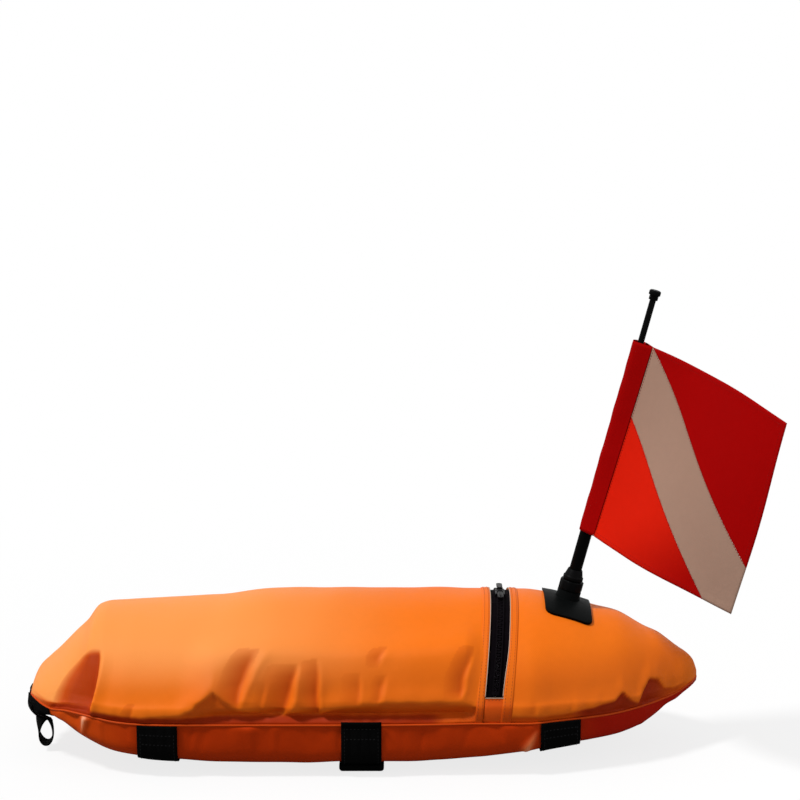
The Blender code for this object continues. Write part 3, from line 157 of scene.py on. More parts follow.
floor_paint = bpy.data.materials.new("floor_paint")
floor_paint.use_nodes = True
floor.data.materials.append(floor_paint)
tree = floor_paint.node_tree
seen = add_node(tree, "LightPath").outputs["Is Camera Ray"]
shade = add_node(tree, "Mix", data_type="RGBA", inputs={
    MIX_SHARE: seen, MIX_FIRST: FLOOR_UNSEEN, MIX_SECOND: FLOOR_SEEN})
place = add_node(tree, "TexCoord").outputs["Object"]
reach = add_node(tree, "VectorMath", {0: place}, operation="LENGTH").outputs["Value"]
fade = add_node(tree, "MapRange", {"Value": reach, **FLOOR_GLOW}, interpolation_type="SMOOTHSTEP")
share = math_node(tree, "MULTIPLY", fade.outputs["Result"], seen)
shader = tree.nodes["Principled BSDF"]
shader.inputs["Roughness"].default_value = 0.9
shader.inputs["Specular IOR Level"].default_value = 0.0
tree.links.new(shade.outputs[MIX_RESULT], shader.inputs["Base Color"])
glow = add_node(tree, "Emission").outputs[0]
surface = add_node(tree, "MixShader", {"Fac": share, 1: shader.outputs[0], 2: glow}).outputs[0]
tree.links.new(surface, tree.nodes["Material Output"].inputs["Surface"])

key_sun = hang("key_sun", "SUN", (-1.50, -0.60, 2.52), (0, 0, 0), 2.52)
key_sun.data.angle = math.radians(9)
bow_fill = hang("bow_fill", "AREA", (1.20, -0.62, 0.62), (0.36, -0.05, 0.13), 1.6)
bow_fill.data.size = 0.5
scene.world = bpy.data.worlds.new("studio")
scene.world.use_nodes = True
tree = scene.world.node_tree
rays = add_node(tree, "LightPath").outputs
seen = math_node(tree, "MAXIMUM", rays["Is Camera Ray"], rays["Is Glossy Ray"])
through = math_node(tree, "MAXIMUM", seen, rays["Is Transmission Ray"])
level = add_node(tree, "MapRange", {"Value": through, "To Min": SKY_LIGHT, "To Max": 1.0})
sky = tree.nodes["Background"]
tree.links.new(level.outputs["Result"], sky.inputs["Strength"])
sky.inputs["Color"].default_value = (1, 1, 1, 1)
print("stage ready, lights:", len(bpy.data.lights))

# %% [markdown]
# ## Finishes
# The float has few materials, but each has its own texture close up: coated cloth with a fine
# weave under the coat, ribbed webbing, plain flag cloth, grained plastic and painted metal.
# Each effect is a node group with named sockets, so that several materials can share it.


# %% Node groups for the shared effects
def new_group(name, inputs, outputs):
    """An empty shader group: returns it, what it is given, its results and its own maths."""
    group = bpy.data.node_groups.new(name, "ShaderNodeTree")
    for label, kind, value in inputs:
        socket = group.interface.new_socket(label, in_out="INPUT", socket_type="NodeSocket" + kind)
        if value is not None:
            socket.default_value = value
    for label, kind in outputs:
        group.interface.new_socket(label, in_out="OUTPUT", socket_type="NodeSocket" + kind)
    given, result = group.nodes.new("NodeGroupInput"), group.nodes.new("NodeGroupOutput")
    return group, given.outputs, result.inputs, partial(math_node, group)


def noise_node(tree, vector, scale, detail, roughness):
    values = {"Vector": vector, "Scale": scale, "Detail": detail, "Roughness": roughness}
    return add_node(tree, "TexNoise", values).outputs["Fac"]


def make_mottle():
    """Slow and fine changes of shade, as on cloth that has been used and rinsed."""
    group, given, result, maths = new_group(
        "mottle", [("Vector", "Vector", None), ("Color", "Color", (0.8, 0.8, 0.8, 1)),
                   ("Amount", "Float", 0.1), ("Scale", "Float", 12.0)],
        [("Color", "Color"), ("Mask", "Float")])
    slow = noise_node(group, given["Vector"], given["Scale"], 4.0, 0.55)
    fine = noise_node(group, given["Vector"], maths("MULTIPLY", given["Scale"], 14.0), 3.0, 0.6)
    both = maths("ADD", maths("MULTIPLY", slow, 0.7), maths("MULTIPLY", fine, 0.3))
    swing = maths("MULTIPLY", maths("SUBTRACT", both, 0.5), given["Amount"])
    factor = maths("ADD", maths("MULTIPLY", swing, 4.0), 1.0)
    scaled = add_node(group, "VectorMath", {0: given["Color"], "Scale": factor}, operation="SCALE")
    group.links.new(scaled.outputs[0], result["Color"])
    group.links.new(both, result["Mask"])
    return group


def make_weave():
    """Height of a plain weave: threads pass over and under each other like a fine chequer."""
    group, given, result, maths = new_group(
        "plain_weave", [("Vector", "Vector", None), ("Pitch", "Float", 0.001)],
        [("Height", "Float")])
    parts = add_node(group, "SeparateXYZ", {0: given["Vector"]}).outputs
    turns = maths("DIVIDE", math.pi, given["Pitch"])
    across, along = (maths("SINE", maths("MULTIPLY", parts[axis], turns)) for axis in "XY")
    over = maths("MULTIPLY", maths("MULTIPLY", across, along), 0.5)
    group.links.new(maths("ADD", over, 0.5), result["Height"])
    return group


def make_webbing():
    """Height of narrow webbing: slanted ribs that change direction in lanes along the strap."""
    group, given, result, maths = new_group(
        "webbing_ribs", [("Vector", "Vector", None), ("Rib", "Float", 0.0016),
                         ("Lane", "Float", 0.0062)], [("Height", "Float")])
    parts = add_node(group, "SeparateXYZ", {0: given["Vector"]}).outputs
    lanes = maths("DIVIDE", parts["Y"], given["Lane"])
    shift = maths("MULTIPLY", maths("PINGPONG", lanes, 1.0), given["Lane"])
    turns = maths("DIVIDE", math.pi, given["Rib"])
    slanted = maths("MULTIPLY", maths("ADD", parts["X"], shift), turns)
    rib = maths("ABSOLUTE", maths("SINE", slanted))
    dip = maths("ABSOLUTE", maths("SINE", maths("MULTIPLY", lanes, math.pi)))
    group.links.new(maths("MULTIPLY", rib, maths("POWER", dip, 0.35)), result["Height"])
    return group


def make_grain():
    """Height of moulded plastic or paint: a fine pebble and a slow waviness."""
    group, given, result, maths = new_group(
        "moulded_grain", [("Vector", "Vector", None), ("Scale", "Float", 900.0)],
        [("Height", "Float")])
    pebble = noise_node(group, given["Vector"], given["Scale"], 2.0, 0.5)
    slow = noise_node(group, given["Vector"], maths("MULTIPLY", given["Scale"], 0.06), 4.0, 0.6)
    group.links.new(maths("ADD", pebble, slow), result["Height"])
    return group


MOTTLE, WEAVE, WEBBING, GRAIN = make_mottle(), make_weave(), make_webbing(), make_grain()
SIZE_SOCKET = {WEAVE: "Pitch", WEBBING: "Rib", GRAIN: "Scale"}
print("groups:", [g.name for g in bpy.data.node_groups])


# %% Materials for cloth, webbing, plastic and metal
LOOKS = {}
ROUGH_SWING = 0.12
RIPPLE_SCALE, RIPPLE_SHARE = 38.0, 2.2


def finish(name, colour, roughness, texture, scale, depth, specular=0.5, mottle=(0.08, 12.0),
           metallic=0.0):
    """One finish: its own shader, fed by the shared groups."""
    material = bpy.data.materials.new(name)
    material.use_nodes = True
    tree = material.node_tree
    place = add_node(tree, "TexCoord").outputs
    tint = add_node(tree, "Group", node_tree=MOTTLE, inputs={
        "Vector": place["Object"], "Color": (*colour, 1), "Amount": mottle[0],
        "Scale": mottle[1]}).outputs
    swing = math_node(tree, "MULTIPLY", tint["Mask"], ROUGH_SWING)
    on_cloth = texture in (WEAVE, WEBBING)
    height = add_node(tree, "Group", node_tree=texture, inputs={
        "Vector": place["UV" if on_cloth else "Object"],
        SIZE_SOCKET[texture]: scale}).outputs["Height"]
    if on_cloth:
        ripple = noise_node(tree, place["Object"], RIPPLE_SCALE, 4.0, 0.6)
        height = math_node(tree, "ADD", height, math_node(tree, "MULTIPLY", ripple, RIPPLE_SHARE))
    bump = add_node(tree, "Bump", {"Strength": 1.0, "Distance": depth, "Height": height})
    inputs = tree.nodes["Principled BSDF"].inputs
    inputs["Metallic"].default_value = metallic
    inputs["Specular IOR Level"].default_value = specular
    tree.links.new(tint["Color"], inputs["Base Color"])
    tree.links.new(math_node(tree, "ADD", swing, roughness - ROUGH_SWING / 2), inputs["Roughness"])
    tree.links.new(bump.outputs["Normal"], inputs["Normal"])
    return material


COATED = (WEAVE, 0.0011, 0.00018)
FLAG_WEAVE = (WEAVE, 0.00075, 0.00018)
PAINT, THREAD = (GRAIN, 1500.0, 0.0001), (GRAIN, 2500.0, 0.0001)
# Each row: name, colour, roughness, texture with its size and depth, specular, mottle, metallic
for name, colour, roughness, texture, *rest in (
        ("deck_cloth", (0.93, 0.185, 0.008), 0.45, COATED, 0.08, (0.05, 7.0)),
        # The hull is the deck's cloth, darker as painted shade.
        ("hull_cloth", (0.52, 0.038, 0.002), 0.48, COATED, 0.04, (0.08, 8.0)),
        ("patch_cloth", (0.66, 0.085, 0.006), 0.45, COATED, 0.06, (0.05, 7.0)),
        ("piping_cloth", (0.60, 0.065, 0.004), 0.45, PAINT, 0.10),
        ("edge_cloth", (0.62, 0.42, 0.30), 0.6, PAINT, 0.2),
        ("strap_web", (0.0025,) * 3, 0.8, (WEBBING, 0.0017, 0.0004), 0.02, (0.2, 30.0)),
        ("loop_web", (0.0025,) * 3, 0.75, (WEBBING, 0.0015, 0.0004), 0.02, (0.2, 30.0)),
        ("tape_web", (0.003, 0.002, 0.003), 0.8, (GRAIN, 1400.0, 0.00025), 0.02, (0.2, 40.0)),
        ("thread_black", (0.012, 0.012, 0.013), 0.7, THREAD, 0.1),
        ("thread_orange", (0.42, 0.07, 0.01), 0.6, THREAD, 0.15),
        ("thread_red", (0.26, 0.004, 0.003), 0.6, THREAD, 0.1),
        # The hoist piece is the fly's red cloth, painted lighter where it faces the light.
        ("flag_bright", (0.70, 0.013, 0.003), 0.62, FLAG_WEAVE, 0.02, (0.06, 10.0)),
        ("flag_red", (0.37, 0.001, 0.001), 0.62, FLAG_WEAVE, 0.02, (0.06, 10.0)),
        ("flag_dark", (0.36, 0.001, 0.001), 0.64, FLAG_WEAVE, 0.02, (0.06, 10.0)),
        # The stripe is white cloth, darkened to beige-grey as painted shade.
        ("flag_white", (0.40, 0.245, 0.18), 0.64, FLAG_WEAVE, 0.02, (0.05, 10.0)),
        ("tube_gloss", (0.002,) * 3, 0.28, (GRAIN, 700.0, 0.00005), 0.03, (0.2, 25.0)),
        ("base_plastic", (0.0025, 0.003, 0.003), 0.45, (GRAIN, 900.0, 0.0001), 0.02, (0.2, 30.0)),
        ("black_plastic", (0.0025,) * 3, 0.42, (GRAIN, 1100.0, 0.0001), 0.03, (0.2, 30.0)),
        ("zip_plastic", (0.003, 0.002, 0.003), 0.6, (GRAIN, 1400.0, 0.0001), 0.02, (0.2, 40.0)),
        ("slider_metal", (0.005, 0.005, 0.0055), 0.40, (GRAIN, 1500.0, 0.00006), 0.1,
         (0.25, 60.0), 0.3),
        ("seal_rubber", (0.02, 0.02, 0.02), 0.7, (GRAIN, 800.0, 0.0001), 0.2),
        ("weight_metal", (0.20, 0.20, 0.21), 0.6, (GRAIN, 400.0, 0.0002), 0.5, (0.08, 12.0), 0.9),
        ("bladder_film", (0.30, 0.31, 0.33), 0.35, (GRAIN, 500.0, 0.0001))):
    LOOKS[name] = finish(name, colour, roughness, *texture, *rest)


# %% Lead the colours over the cloth
def mix_in(tree, colour, share):
    """Mixes another colour into the base colour by a share that changes over the surface."""
    base = tree.nodes["Principled BSDF"].inputs["Base Color"]
    mixed = add_node(tree, "Mix", data_type="RGBA", inputs={
        MIX_SHARE: share, MIX_FIRST: base.links[0].from_socket, MIX_SECOND: (*colour, 1)})
    tree.links.new(mixed.outputs[MIX_RESULT], base)


def ramp(tree, value, low, high, kind="SMOOTHSTEP"):
    """A share that rises from zero to one while a value goes from low to high."""
    values = {"Value": value, "From Min": low, "From Max": high}
    return add_node(tree, "MapRange", values, interpolation_type=kind).outputs["Result"]


def paint_highlight(material, colour, amount):
    """Painted highlight: the cloth is paler on its upper side towards the stern."""
    tree = LOOKS[material].node_tree
    spot = tree.nodes["Texture Coordinate"].outputs["Object"]
    parts = add_node(tree, "SeparateXYZ", {0: spot}).outputs
    painted_light_share = math_node(tree, "MULTIPLY", ramp(tree, parts["X"], 0.10, -0.22),
                      ramp(tree, parts["Z"], 0.098, 0.158))
    mix_in(tree, colour, math_node(tree, "MULTIPLY", painted_light_share, amount))


def change_towards(material, colour, run, start, end):
    """A slow change to another colour along a direction, measured on the float."""
    tree = LOOKS[material].node_tree
    spot = tree.nodes["Texture Coordinate"].outputs["Object"]
    along = add_node(tree, "VectorMath", {0: spot, 1: run}, operation="DOT_PRODUCT")
    mix_in(tree, colour, ramp(tree, along.outputs["Value"], start, end))


def tint_by(material, attribute, half, full):
    """Two colours that come in where an attribute of the cloth rises to a half and to one."""
    tree = LOOKS[material].node_tree
    mark = add_node(tree, "Attribute", attribute_name=attribute).outputs["Fac"]
    mix_in(tree, half, ramp(tree, mark, 0.0, 0.5, "LINEAR"))
    mix_in(tree, full, ramp(tree, mark, 0.5, 1.0, "LINEAR"))


# Painted highlight on the upper deck towards the stern.
paint_highlight("deck_cloth", (0.97, 0.35, 0.085), 0.85)
# Painted highlight: the deck's stern end is paler.
change_towards("deck_cloth", (0.97, 0.33, 0.075), (-1.0, 0.0, 0.0), 0.335, 0.375)
# Painted shade: where the folds' attribute rises, the cloth darkens to deep orange, then dark red.
tint_by("deck_cloth", "painted_shade", (0.60, 0.075, 0.003), (0.30, 0.014, 0.001))
# Painted shade across the hoist piece, darker towards its lower fly end.
change_towards("flag_bright", (0.39, 0.002, 0.001), (9.0, 0.0, -12.24), -0.87, 0.63)
# Painted shade: the hull darkens towards the bow.
change_towards("hull_cloth", (0.42, 0.010, 0.002), (1.0, 0.0, 0.0), 0.22, 0.31)
# Painted light: the hull is lighter towards the stern.
change_towards("hull_cloth", (0.66, 0.075, 0.005), (-1.0, 0.0, 0.0), 0.26, 0.38)
# Painted highlights on two hull folds: lighter, then pink where strongest.
tint_by("hull_cloth", "rub", (0.78, 0.17, 0.05), (0.97, 0.42, 0.24))
print("materials:", len(bpy.data.materials))

# %% [markdown]
# ## Tools for sewn and moulded pieces
# Cloth here is a grid whose points are laid on a surface worked out row by row, and then gets its
# thickness. Moulded pieces start from the CAD solid: its triangles are merged back into flat faces
# and its sharp edges get a small round, because no real moulding has a knife edge.


# %% Helpers that lay cloth and finish objects
MERGE_GAP = 0.00002
STITCH, STITCH_GAP, STITCH_HALF_WIDTH = 0.0032, 0.0016, 0.00045


def show(mesh, name, look, body, replaced=(), smooth_degrees=50):
    """Puts a finished mesh in the scene, on its body and in its material slot."""
    mesh.name = name
    if smooth_degrees:
        mesh.shade_smooth()
        mesh.set_sharp_from_angle(angle=math.radians(smooth_degrees))
    mesh.materials.clear()
    mesh.materials.append(LOOKS[look])
    piece = bpy.data.objects.new(name, mesh)
    scene.collection.objects.link(piece)
    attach(piece, body)
    if replaced:
        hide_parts(*replaced)
    return piece


def outward(mesh, middle_of):
    """Turns the faces round if most of them look towards the inside."""
    shape = bmesh.new()
    shape.from_mesh(mesh)
    shape.normal_update()
    score = 0.0
    for face in shape.faces:
        middle = face.calc_center_median()
        score += face.normal.dot(middle - middle_of(middle)) * face.calc_area()
    if score < 0:
        bmesh.ops.reverse_faces(shape, faces=shape.faces)
    shape.to_mesh(mesh)
    shape.free()


def distances(places, axis):
    """Distance along the rows or the columns of a grid, starting from zero."""
    step = np.linalg.norm(np.diff(places, axis=axis), axis=2)
    zero = np.zeros_like(np.take(step, [0], axis=axis))
    return np.concatenate([zero, np.cumsum(step, axis=axis)], axis=axis)


def lay_grid(name, places, run=None, across=None, marks=()):
    """A grid of cloth from rows x columns x 3 places; run and across are its UVs in metres."""
    rows, columns = places.shape[:2]
    shape = bmesh.new()
    bmesh.ops.create_grid(shape, x_segments=rows - 1, y_segments=columns - 1, size=0.5)
    mesh = set_down(shape, name)
    flat = np.zeros(len(mesh.vertices) * 3)
    mesh.vertices.foreach_get("co", flat)
    flat = flat.reshape(-1, 3)
    row = np.rint((flat[:, 0] + 0.5) * (rows - 1)).astype(int)
    column = np.rint((flat[:, 1] + 0.5) * (columns - 1)).astype(int)
    mesh.vertices.foreach_set("co", places[row, column].ravel())
    corner = np.zeros(len(mesh.loops), dtype=int)
    mesh.loops.foreach_get("vertex_index", corner)
    run = distances(places, 0) if run is None else run
    across = distances(places, 1) if across is None else across
    uv = np.stack([np.broadcast_to(values, (rows, columns))[row, column]
                   for values in (run, across)], axis=1)
    mesh.uv_layers.new(name="cloth").data.foreach_set("uv", uv[corner].ravel())
    for mark_name, values in marks:
        mark = mesh.attributes.new(mark_name, "FLOAT", "POINT")
        mark.data.foreach_set("value", np.ascontiguousarray(values[row, column], dtype=float))
    mesh.update()
    return mesh


def give_wall(piece, thickness, offset=-1.0):
    """Gives cloth its thickness with a Solidify modifier."""
    wall = piece.modifiers.new("wall", "SOLIDIFY")
    wall.thickness = thickness
    wall.offset = offset
    wall.use_even_offset = False
    return wall


def lay_cloth(mesh, middle_of, look, body, replaced, wall, offset=-1.0, smooth_degrees=60):
    """Turns a laid grid outwards, shows it and gives it its wall."""
    outward(mesh, middle_of)
    piece = show(mesh, mesh.name, look, body, replaced, smooth_degrees)
    give_wall(piece, wall, offset)
    return piece


def grid_normals(places, up=True):
    """Unit normals of a grid of places, turned so that the middle one looks up or down."""
    out = np.cross(np.gradient(places, axis=0), np.gradient(places, axis=1))
    out = out / np.maximum(np.linalg.norm(out, axis=2, keepdims=True), 1e-9)
    middle = out[places.shape[0] // 2, places.shape[1] // 2, 2]
    return out if (middle > 0) == up else -out


def rounded_mesh(node, name, width, segments, sharp_degrees):
    """A CAD solid with its flat faces merged back and its edges rounded."""
    shape = bmesh.new()
    shape.from_mesh(nodes[node].data)
    bmesh.ops.remove_doubles(shape, verts=shape.verts, dist=MERGE_GAP)
    bmesh.ops.dissolve_limit(shape, angle_limit=math.radians(1.0), verts=shape.verts,
                             edges=shape.edges)
    sharp = [edge for edge in shape.edges if len(edge.link_faces) == 2
             and edge.calc_face_angle(0.0) > math.radians(sharp_degrees)]
    bmesh.ops.bevel(shape, geom=sharp, offset=width, offset_type="OFFSET", affect="EDGES",
                    segments=segments, profile=0.5, material=-1, clamp_overlap=True)
    return set_down(shape, name)


def sew(name, lines, look, body, slot, stitch=STITCH, gap=STITCH_GAP, half=STITCH_HALF_WIDTH):
    """Rows of stitches: each is a small long bead on a line of (place, normal)."""
    shape = bmesh.new()
    count = 0
    size = Matrix.Diagonal((stitch / 2, half, half * 0.8, 1.0))
    for line in lines:
        spots = [Vector(place) for place, out in line]
        outs = [Vector(out) for place, out in line]
        lengths = [0.0]
        for first, second in zip(spots, spots[1:]):
            lengths.append(lengths[-1] + (second - first).length)
        at, index = gap, 0
        while at + stitch < lengths[-1]:
            middle = at + stitch / 2
            while lengths[index + 1] < middle:
                index += 1
            span = max(lengths[index + 1] - lengths[index], 1e-9)
            share = (middle - lengths[index]) / span
            spot = spots[index].lerp(spots[index + 1], share)
            out = outs[index].lerp(outs[index + 1], share).normalized()
            ahead = (spots[index + 1] - spots[index]).normalized()
            side = out.cross(ahead).normalized()
            turn = Matrix((ahead, side, out)).transposed().to_4x4()
            bmesh.ops.create_icosphere(shape, subdivisions=1, radius=1.0,
                                       matrix=Matrix.Translation(spot) @ turn @ size)
            count += 1
            at += stitch + gap
    print(name, count, "stitches")
    return show(set_down(shape, name), name, look, body, (), 0)


# %% [markdown]
# ## The form of the cover
# The float's shape is a few tables: how wide it is, how high its deck and how deep its keel are
# along its length. They are the same values as the CAD model's, so the cloth lies where the CAD
# shell lies. A smooth curve runs through each table, and a spline rounds the deck's section.

# %% Tables of the form
HALF_LENGTH, HALF_WIDTH = 0.431, 0.150
SEAM_HEIGHT, SEAM_SHEER = 0.067, 0.019
DECK_RISE, KEEL_DEPTH = 0.1325, 0.0565
# Shares of the half length, and of the largest width, rise or depth there
HALF_WIDTH_SHARES = [(-1.0, 0.0), (-0.995, 0.09), (-0.984, 0.33), (-0.95, 0.50), (-0.92, 0.60),
                     (-0.87, 0.725), (-0.81, 0.84), (-0.74, 0.93), (-0.66, 0.98), (-0.53, 1.0),
                     (0.0, 1.0), (0.25, 0.975), (0.33, 0.957), (0.48, 0.957), (0.56, 0.885),
                     (0.666, 0.78), (0.738, 0.687), (0.81, 0.56), (0.88, 0.40), (0.92, 0.30),
                     (0.955, 0.21), (0.984, 0.10), (1.0, 0.0)]
DECK_RISE_SHARES = [(-1.0, 0.02), (-0.995, 0.07), (-0.977, 0.20), (-0.942, 0.29), (-0.895, 0.415),
                    (-0.859, 0.515), (-0.825, 0.62), (-0.787, 0.785), (-0.75, 0.832),
                    (-0.65, 0.872), (-0.436, 0.917), (-0.255, 0.984), (0.0, 0.99), (0.33, 0.985),
                    (0.48, 0.977), (0.54, 0.962), (0.612, 0.913), (0.682, 0.842), (0.754, 0.782),
                    (0.842, 0.613), (0.88, 0.55), (0.91, 0.47), (0.944, 0.36), (0.984, 0.20),
                    (0.995, 0.10), (1.0, 0.03)]
KEEL_DEPTH_SHARES = [(-1.0, 0.092), (-0.963, 0.10), (-0.928, 0.13), (-0.893, 0.21), (-0.858, 0.37),
                     (-0.787, 0.64), (-0.715, 0.78), (-0.606, 0.905), (-0.46, 0.965), (0.0, 1.0),
                     (0.232, 0.952), (0.341, 0.88), (0.45, 0.806), (0.557, 0.714), (0.666, 0.64),
                     (0.738, 0.58), (0.81, 0.44), (0.847, 0.34), (0.882, 0.23), (0.92, 0.13),
                     (0.955, 0.096), (1.0, 0.092)]
SHEER_SHARES = [(-1.0, 0.0), (-0.92, 0.12), (-0.85, 0.36), (-0.81, 0.34), (-0.70, 0.08),
                (-0.60, 0.0), (0.70, 0.0), (0.847, 0.16), (0.923, 0.34), (0.967, 0.70), (1.0, 1.0)]
TABLE_STEPS = 1600


def follow(table, place):
    """A smooth curve through the table's points that never overshoots them."""
    if place <= table[0][0]:
        return table[0][1]
    if place >= table[-1][0]:
        return table[-1][1]
    slopes = [(b[1] - a[1]) / (b[0] - a[0]) for a, b in zip(table, table[1:])]
    index = max(i for i in range(len(slopes)) if table[i][0] <= place)

    def tangent(i):
        if i == 0 or i == len(slopes):
            return slopes[min(i, len(slopes) - 1)]
        before, after = slopes[i - 1], slopes[i]
        return 0.0 if before * after <= 0 else 2 * before * after / (before + after)

    width = table[index + 1][0] - table[index][0]
    t = (place - table[index][0]) / width
    low, high = table[index][1], table[index + 1][1]
    return (low * (1 + 2 * t) * (1 - t) ** 2 + tangent(index) * width * t * (1 - t) ** 2
            + high * t * t * (3 - 2 * t) + tangent(index + 1) * width * t * t * (t - 1))


table_places = np.linspace(-1.0, 1.0, TABLE_STEPS)
tables = {"width": HALF_WIDTH_SHARES, "rise": DECK_RISE_SHARES, "keel": KEEL_DEPTH_SHARES,
          "sheer": SHEER_SHARES}
table_curves = {key: np.array([follow(table, place) for place in table_places])
                for key, table in tables.items()}


def read(key, x):
    return np.interp(np.asarray(x) / HALF_LENGTH, table_places, table_curves[key])


def half_width(x):
    return HALF_WIDTH * read("width", x)


def deck_rise(x):
    return DECK_RISE * read("rise", x)


def keel_depth(x):
    return KEEL_DEPTH * read("keel", x)


def seam_height(x):
    return SEAM_HEIGHT + SEAM_SHEER * read("sheer", x)


SEAM_LIFT, SEAM_CLEAR = 0.0026, 0.0010
STERN_LIFT, STERN_DRAW = 0.0080, 0.0035


def smooth_rise(value, low, high):
    share = np.clip((value - low) / (high - low), 0, 1)
    return share * share * (3 - 2 * share)


def seam_line(x):
    """Height of the sewn seam: it rolls up a little from the widest line, more at the stern."""
    lift = (SEAM_LIFT * np.clip((HALF_LENGTH - x) / 0.02, 0, 1)
            + STERN_LIFT * smooth_rise(-x, 0.385, 0.425))
    return seam_height(x) + np.minimum(lift, deck_rise(x) * 0.5 - SEAM_CLEAR)


def deck_foot(x):
    return seam_line(x) - seam_height(x) + SEAM_CLEAR


def drawn_in(x):
    """Place along the float once the webbing at the stern has drawn the cloth in a little."""
    return x + STERN_DRAW * smooth_rise(-np.asarray(x), 0.400, 0.431)


print("beam at the middle", round(2 * float(half_width(0.0)), 3), "m")

# %% The deck's and the hull's sections
ZIP_ANGLE = math.radians(6.0)
ZIP_X, ZIP_LEAN = HALF_LENGTH * 0.4084, math.tan(ZIP_ANGLE)
ZIP_SLOT, FACING = 0.025, 0.010
ARC_WIDTH, ARC_END, ARC_STEPS = 1.034, 71.0, 12
SIDE_SHARES = [(0.990, 0.0), (1.004, 0.085), (0.999, 0.165)]
HULL_ROUNDNESS = 6.0
arc_height = float(half_width(ZIP_X) * ARC_WIDTH / (deck_rise(ZIP_X) - deck_foot(ZIP_X)))


def spline(points, per_span):
    """Points of a smooth curve through a line of points (Catmull-Rom)."""
    points = [np.array(p, float) for p in points]
    ends = [2 * points[0] - points[1]] + points + [2 * points[-1] - points[-2]]
    found = []
    for a, b, c, d in zip(ends, ends[1:], ends[2:], ends[3:]):
        for step in range(per_span):
            t = step / per_span
            found.append(0.5 * (2 * b + (c - a) * t + (2 * a - 5 * b + 4 * c - d) * t * t
                                + (3 * b - 3 * c + d - a) * t ** 3))
    return np.array(found + [points[-1]])


def even(points, count):
    """The same line with evenly spaced points."""
    lengths = np.concatenate([[0], np.cumsum(np.linalg.norm(np.diff(points, axis=0), axis=1))])
    wanted = np.linspace(0, lengths[-1], count)
    return np.stack([np.interp(wanted, lengths, column) for column in points.T], axis=1)


def unit_deck(columns):
    """The deck's section for a width and a rise of one, from the near seam to the far seam."""
    arc = []
    for step in range(ARC_STEPS + 1):
        angle = math.radians(ARC_END) * (2 * step / ARC_STEPS - 1)
        arc.append((ARC_WIDTH * math.sin(angle), 1 - arc_height * (1 - math.cos(angle))))
    whole = [(-y, z) for y, z in SIDE_SHARES] + arc + SIDE_SHARES[::-1]
    return even(spline(whole, 12), columns)


def unit_hull(columns):
    angles = np.linspace(0, math.pi, 721)
    y = -np.sign(np.cos(angles)) * np.abs(np.cos(angles)) ** (2 / HULL_ROUNDNESS)
    z = np.abs(np.sin(angles)) ** (2 / HULL_ROUNDNESS)
    flatten = np.array([1.0, KEEL_DEPTH / HALF_WIDTH])
    return even(np.stack([y, z], axis=1) * flatten, columns) / flatten


def deck_grid(rows, leans, columns):
    """Places of the deck for rows along the float; a lean tilts a row about the crown."""
    section = unit_deck(columns)
    grid = np.zeros((len(rows), columns, 3))
    for index, (x, lean) in enumerate(zip(rows, leans)):
        place = np.full(columns, float(x))
        crown = float(seam_height(x) + deck_rise(x))
        for repeat in range(5 if lean else 1):
            if repeat:
                place = x + lean * (z - crown)
            foot = deck_foot(place)
            z = seam_height(place) + foot + (deck_rise(place) - foot) * section[:, 1]
        grid[index] = np.stack([drawn_in(place), half_width(place) * section[:, 0], z], axis=1)
    return grid


def hull_grid(rows, columns):
    section = unit_hull(columns)
    grid = np.zeros((len(rows), columns, 3))
    for index, x in enumerate(rows):
        edge = float(seam_height(x) - seam_line(x)) + SEAM_CLEAR
        z = seam_height(x) - edge - (keel_depth(x) - edge) * section[:, 1]
        place = np.full(columns, float(drawn_in(x)))
        grid[index] = np.stack([place, half_width(x) * section[:, 0], z], axis=1)
    return grid


def slot_edge(side, inset=0.0):
    return ZIP_X + side * (ZIP_SLOT / 2 + inset) / math.cos(ZIP_ANGLE)


print("deck arc is", round(arc_height, 3), "of its rise")

# %% [markdown]
# ## Folds
# The cover is sewn from flat cloth, so it puckers where it is drawn in: small folds rise from the
# seam, a deep pleat stands at the stern's corner, and the side tucks in just above the piping.
# A cloth simulation would find folds of its own, but not these ones, so each fold is a line on the
# cloth with a depth and a width, and many small seeded ones fill the seam.


# %% Fold lines on the cloth
def nearest_part(x, s, line):
    """Goes through the parts of a line of (x, s) points.

    Yields each part's start, run and length, how far along it a place lies, the gap to it, and
    where it is the nearest part so far."""
    nearest = np.full_like(x, 9.0)
    for a, b in zip(line, line[1:]):
        run = np.array([b[0] - a[0], b[1] - a[1]])
        size = float(np.hypot(*run))
        along = np.clip(((x - a[0]) * run[0] + (s - a[1]) * run[1]) / size ** 2, 0, 1)
        gap = np.hypot(x - (a[0] + run[0] * along), s - (a[1] + run[1] * along))
        here = gap < nearest
        nearest = np.where(here, gap, nearest)
        yield a, run, size, along, gap, here


def fold(x, s, line, depth, width):
    """Height of one fold, a ridge or with a negative depth a valley.

    Its line is [(x, s), ...] from its foot to its tip, s measured from the seam."""
    height = np.zeros_like(x)
    lengths = [0.0] + list(np.cumsum([math.dist(a, b) for a, b in zip(line, line[1:])]))
    for index, (a, run, size, along, gap, here) in enumerate(nearest_part(x, s, line)):
        off_x, off_s = x - (a[0] + run[0] * along), s - (a[1] + run[1] * along)
        side = (off_x * run[1] - off_s * run[0]) / size
        share = (lengths[index] + along * size) / lengths[-1]
        reach = width * (1.15 - 0.75 * share)
        fade = np.clip(1 - share, 0, 1) ** 0.7
        beyond = np.exp(-(np.maximum(gap - np.abs(side), 0) / reach) ** 2)
        height = np.where(here, depth * fade * np.exp(-(side / reach) ** 2) * beyond, height)
    return height


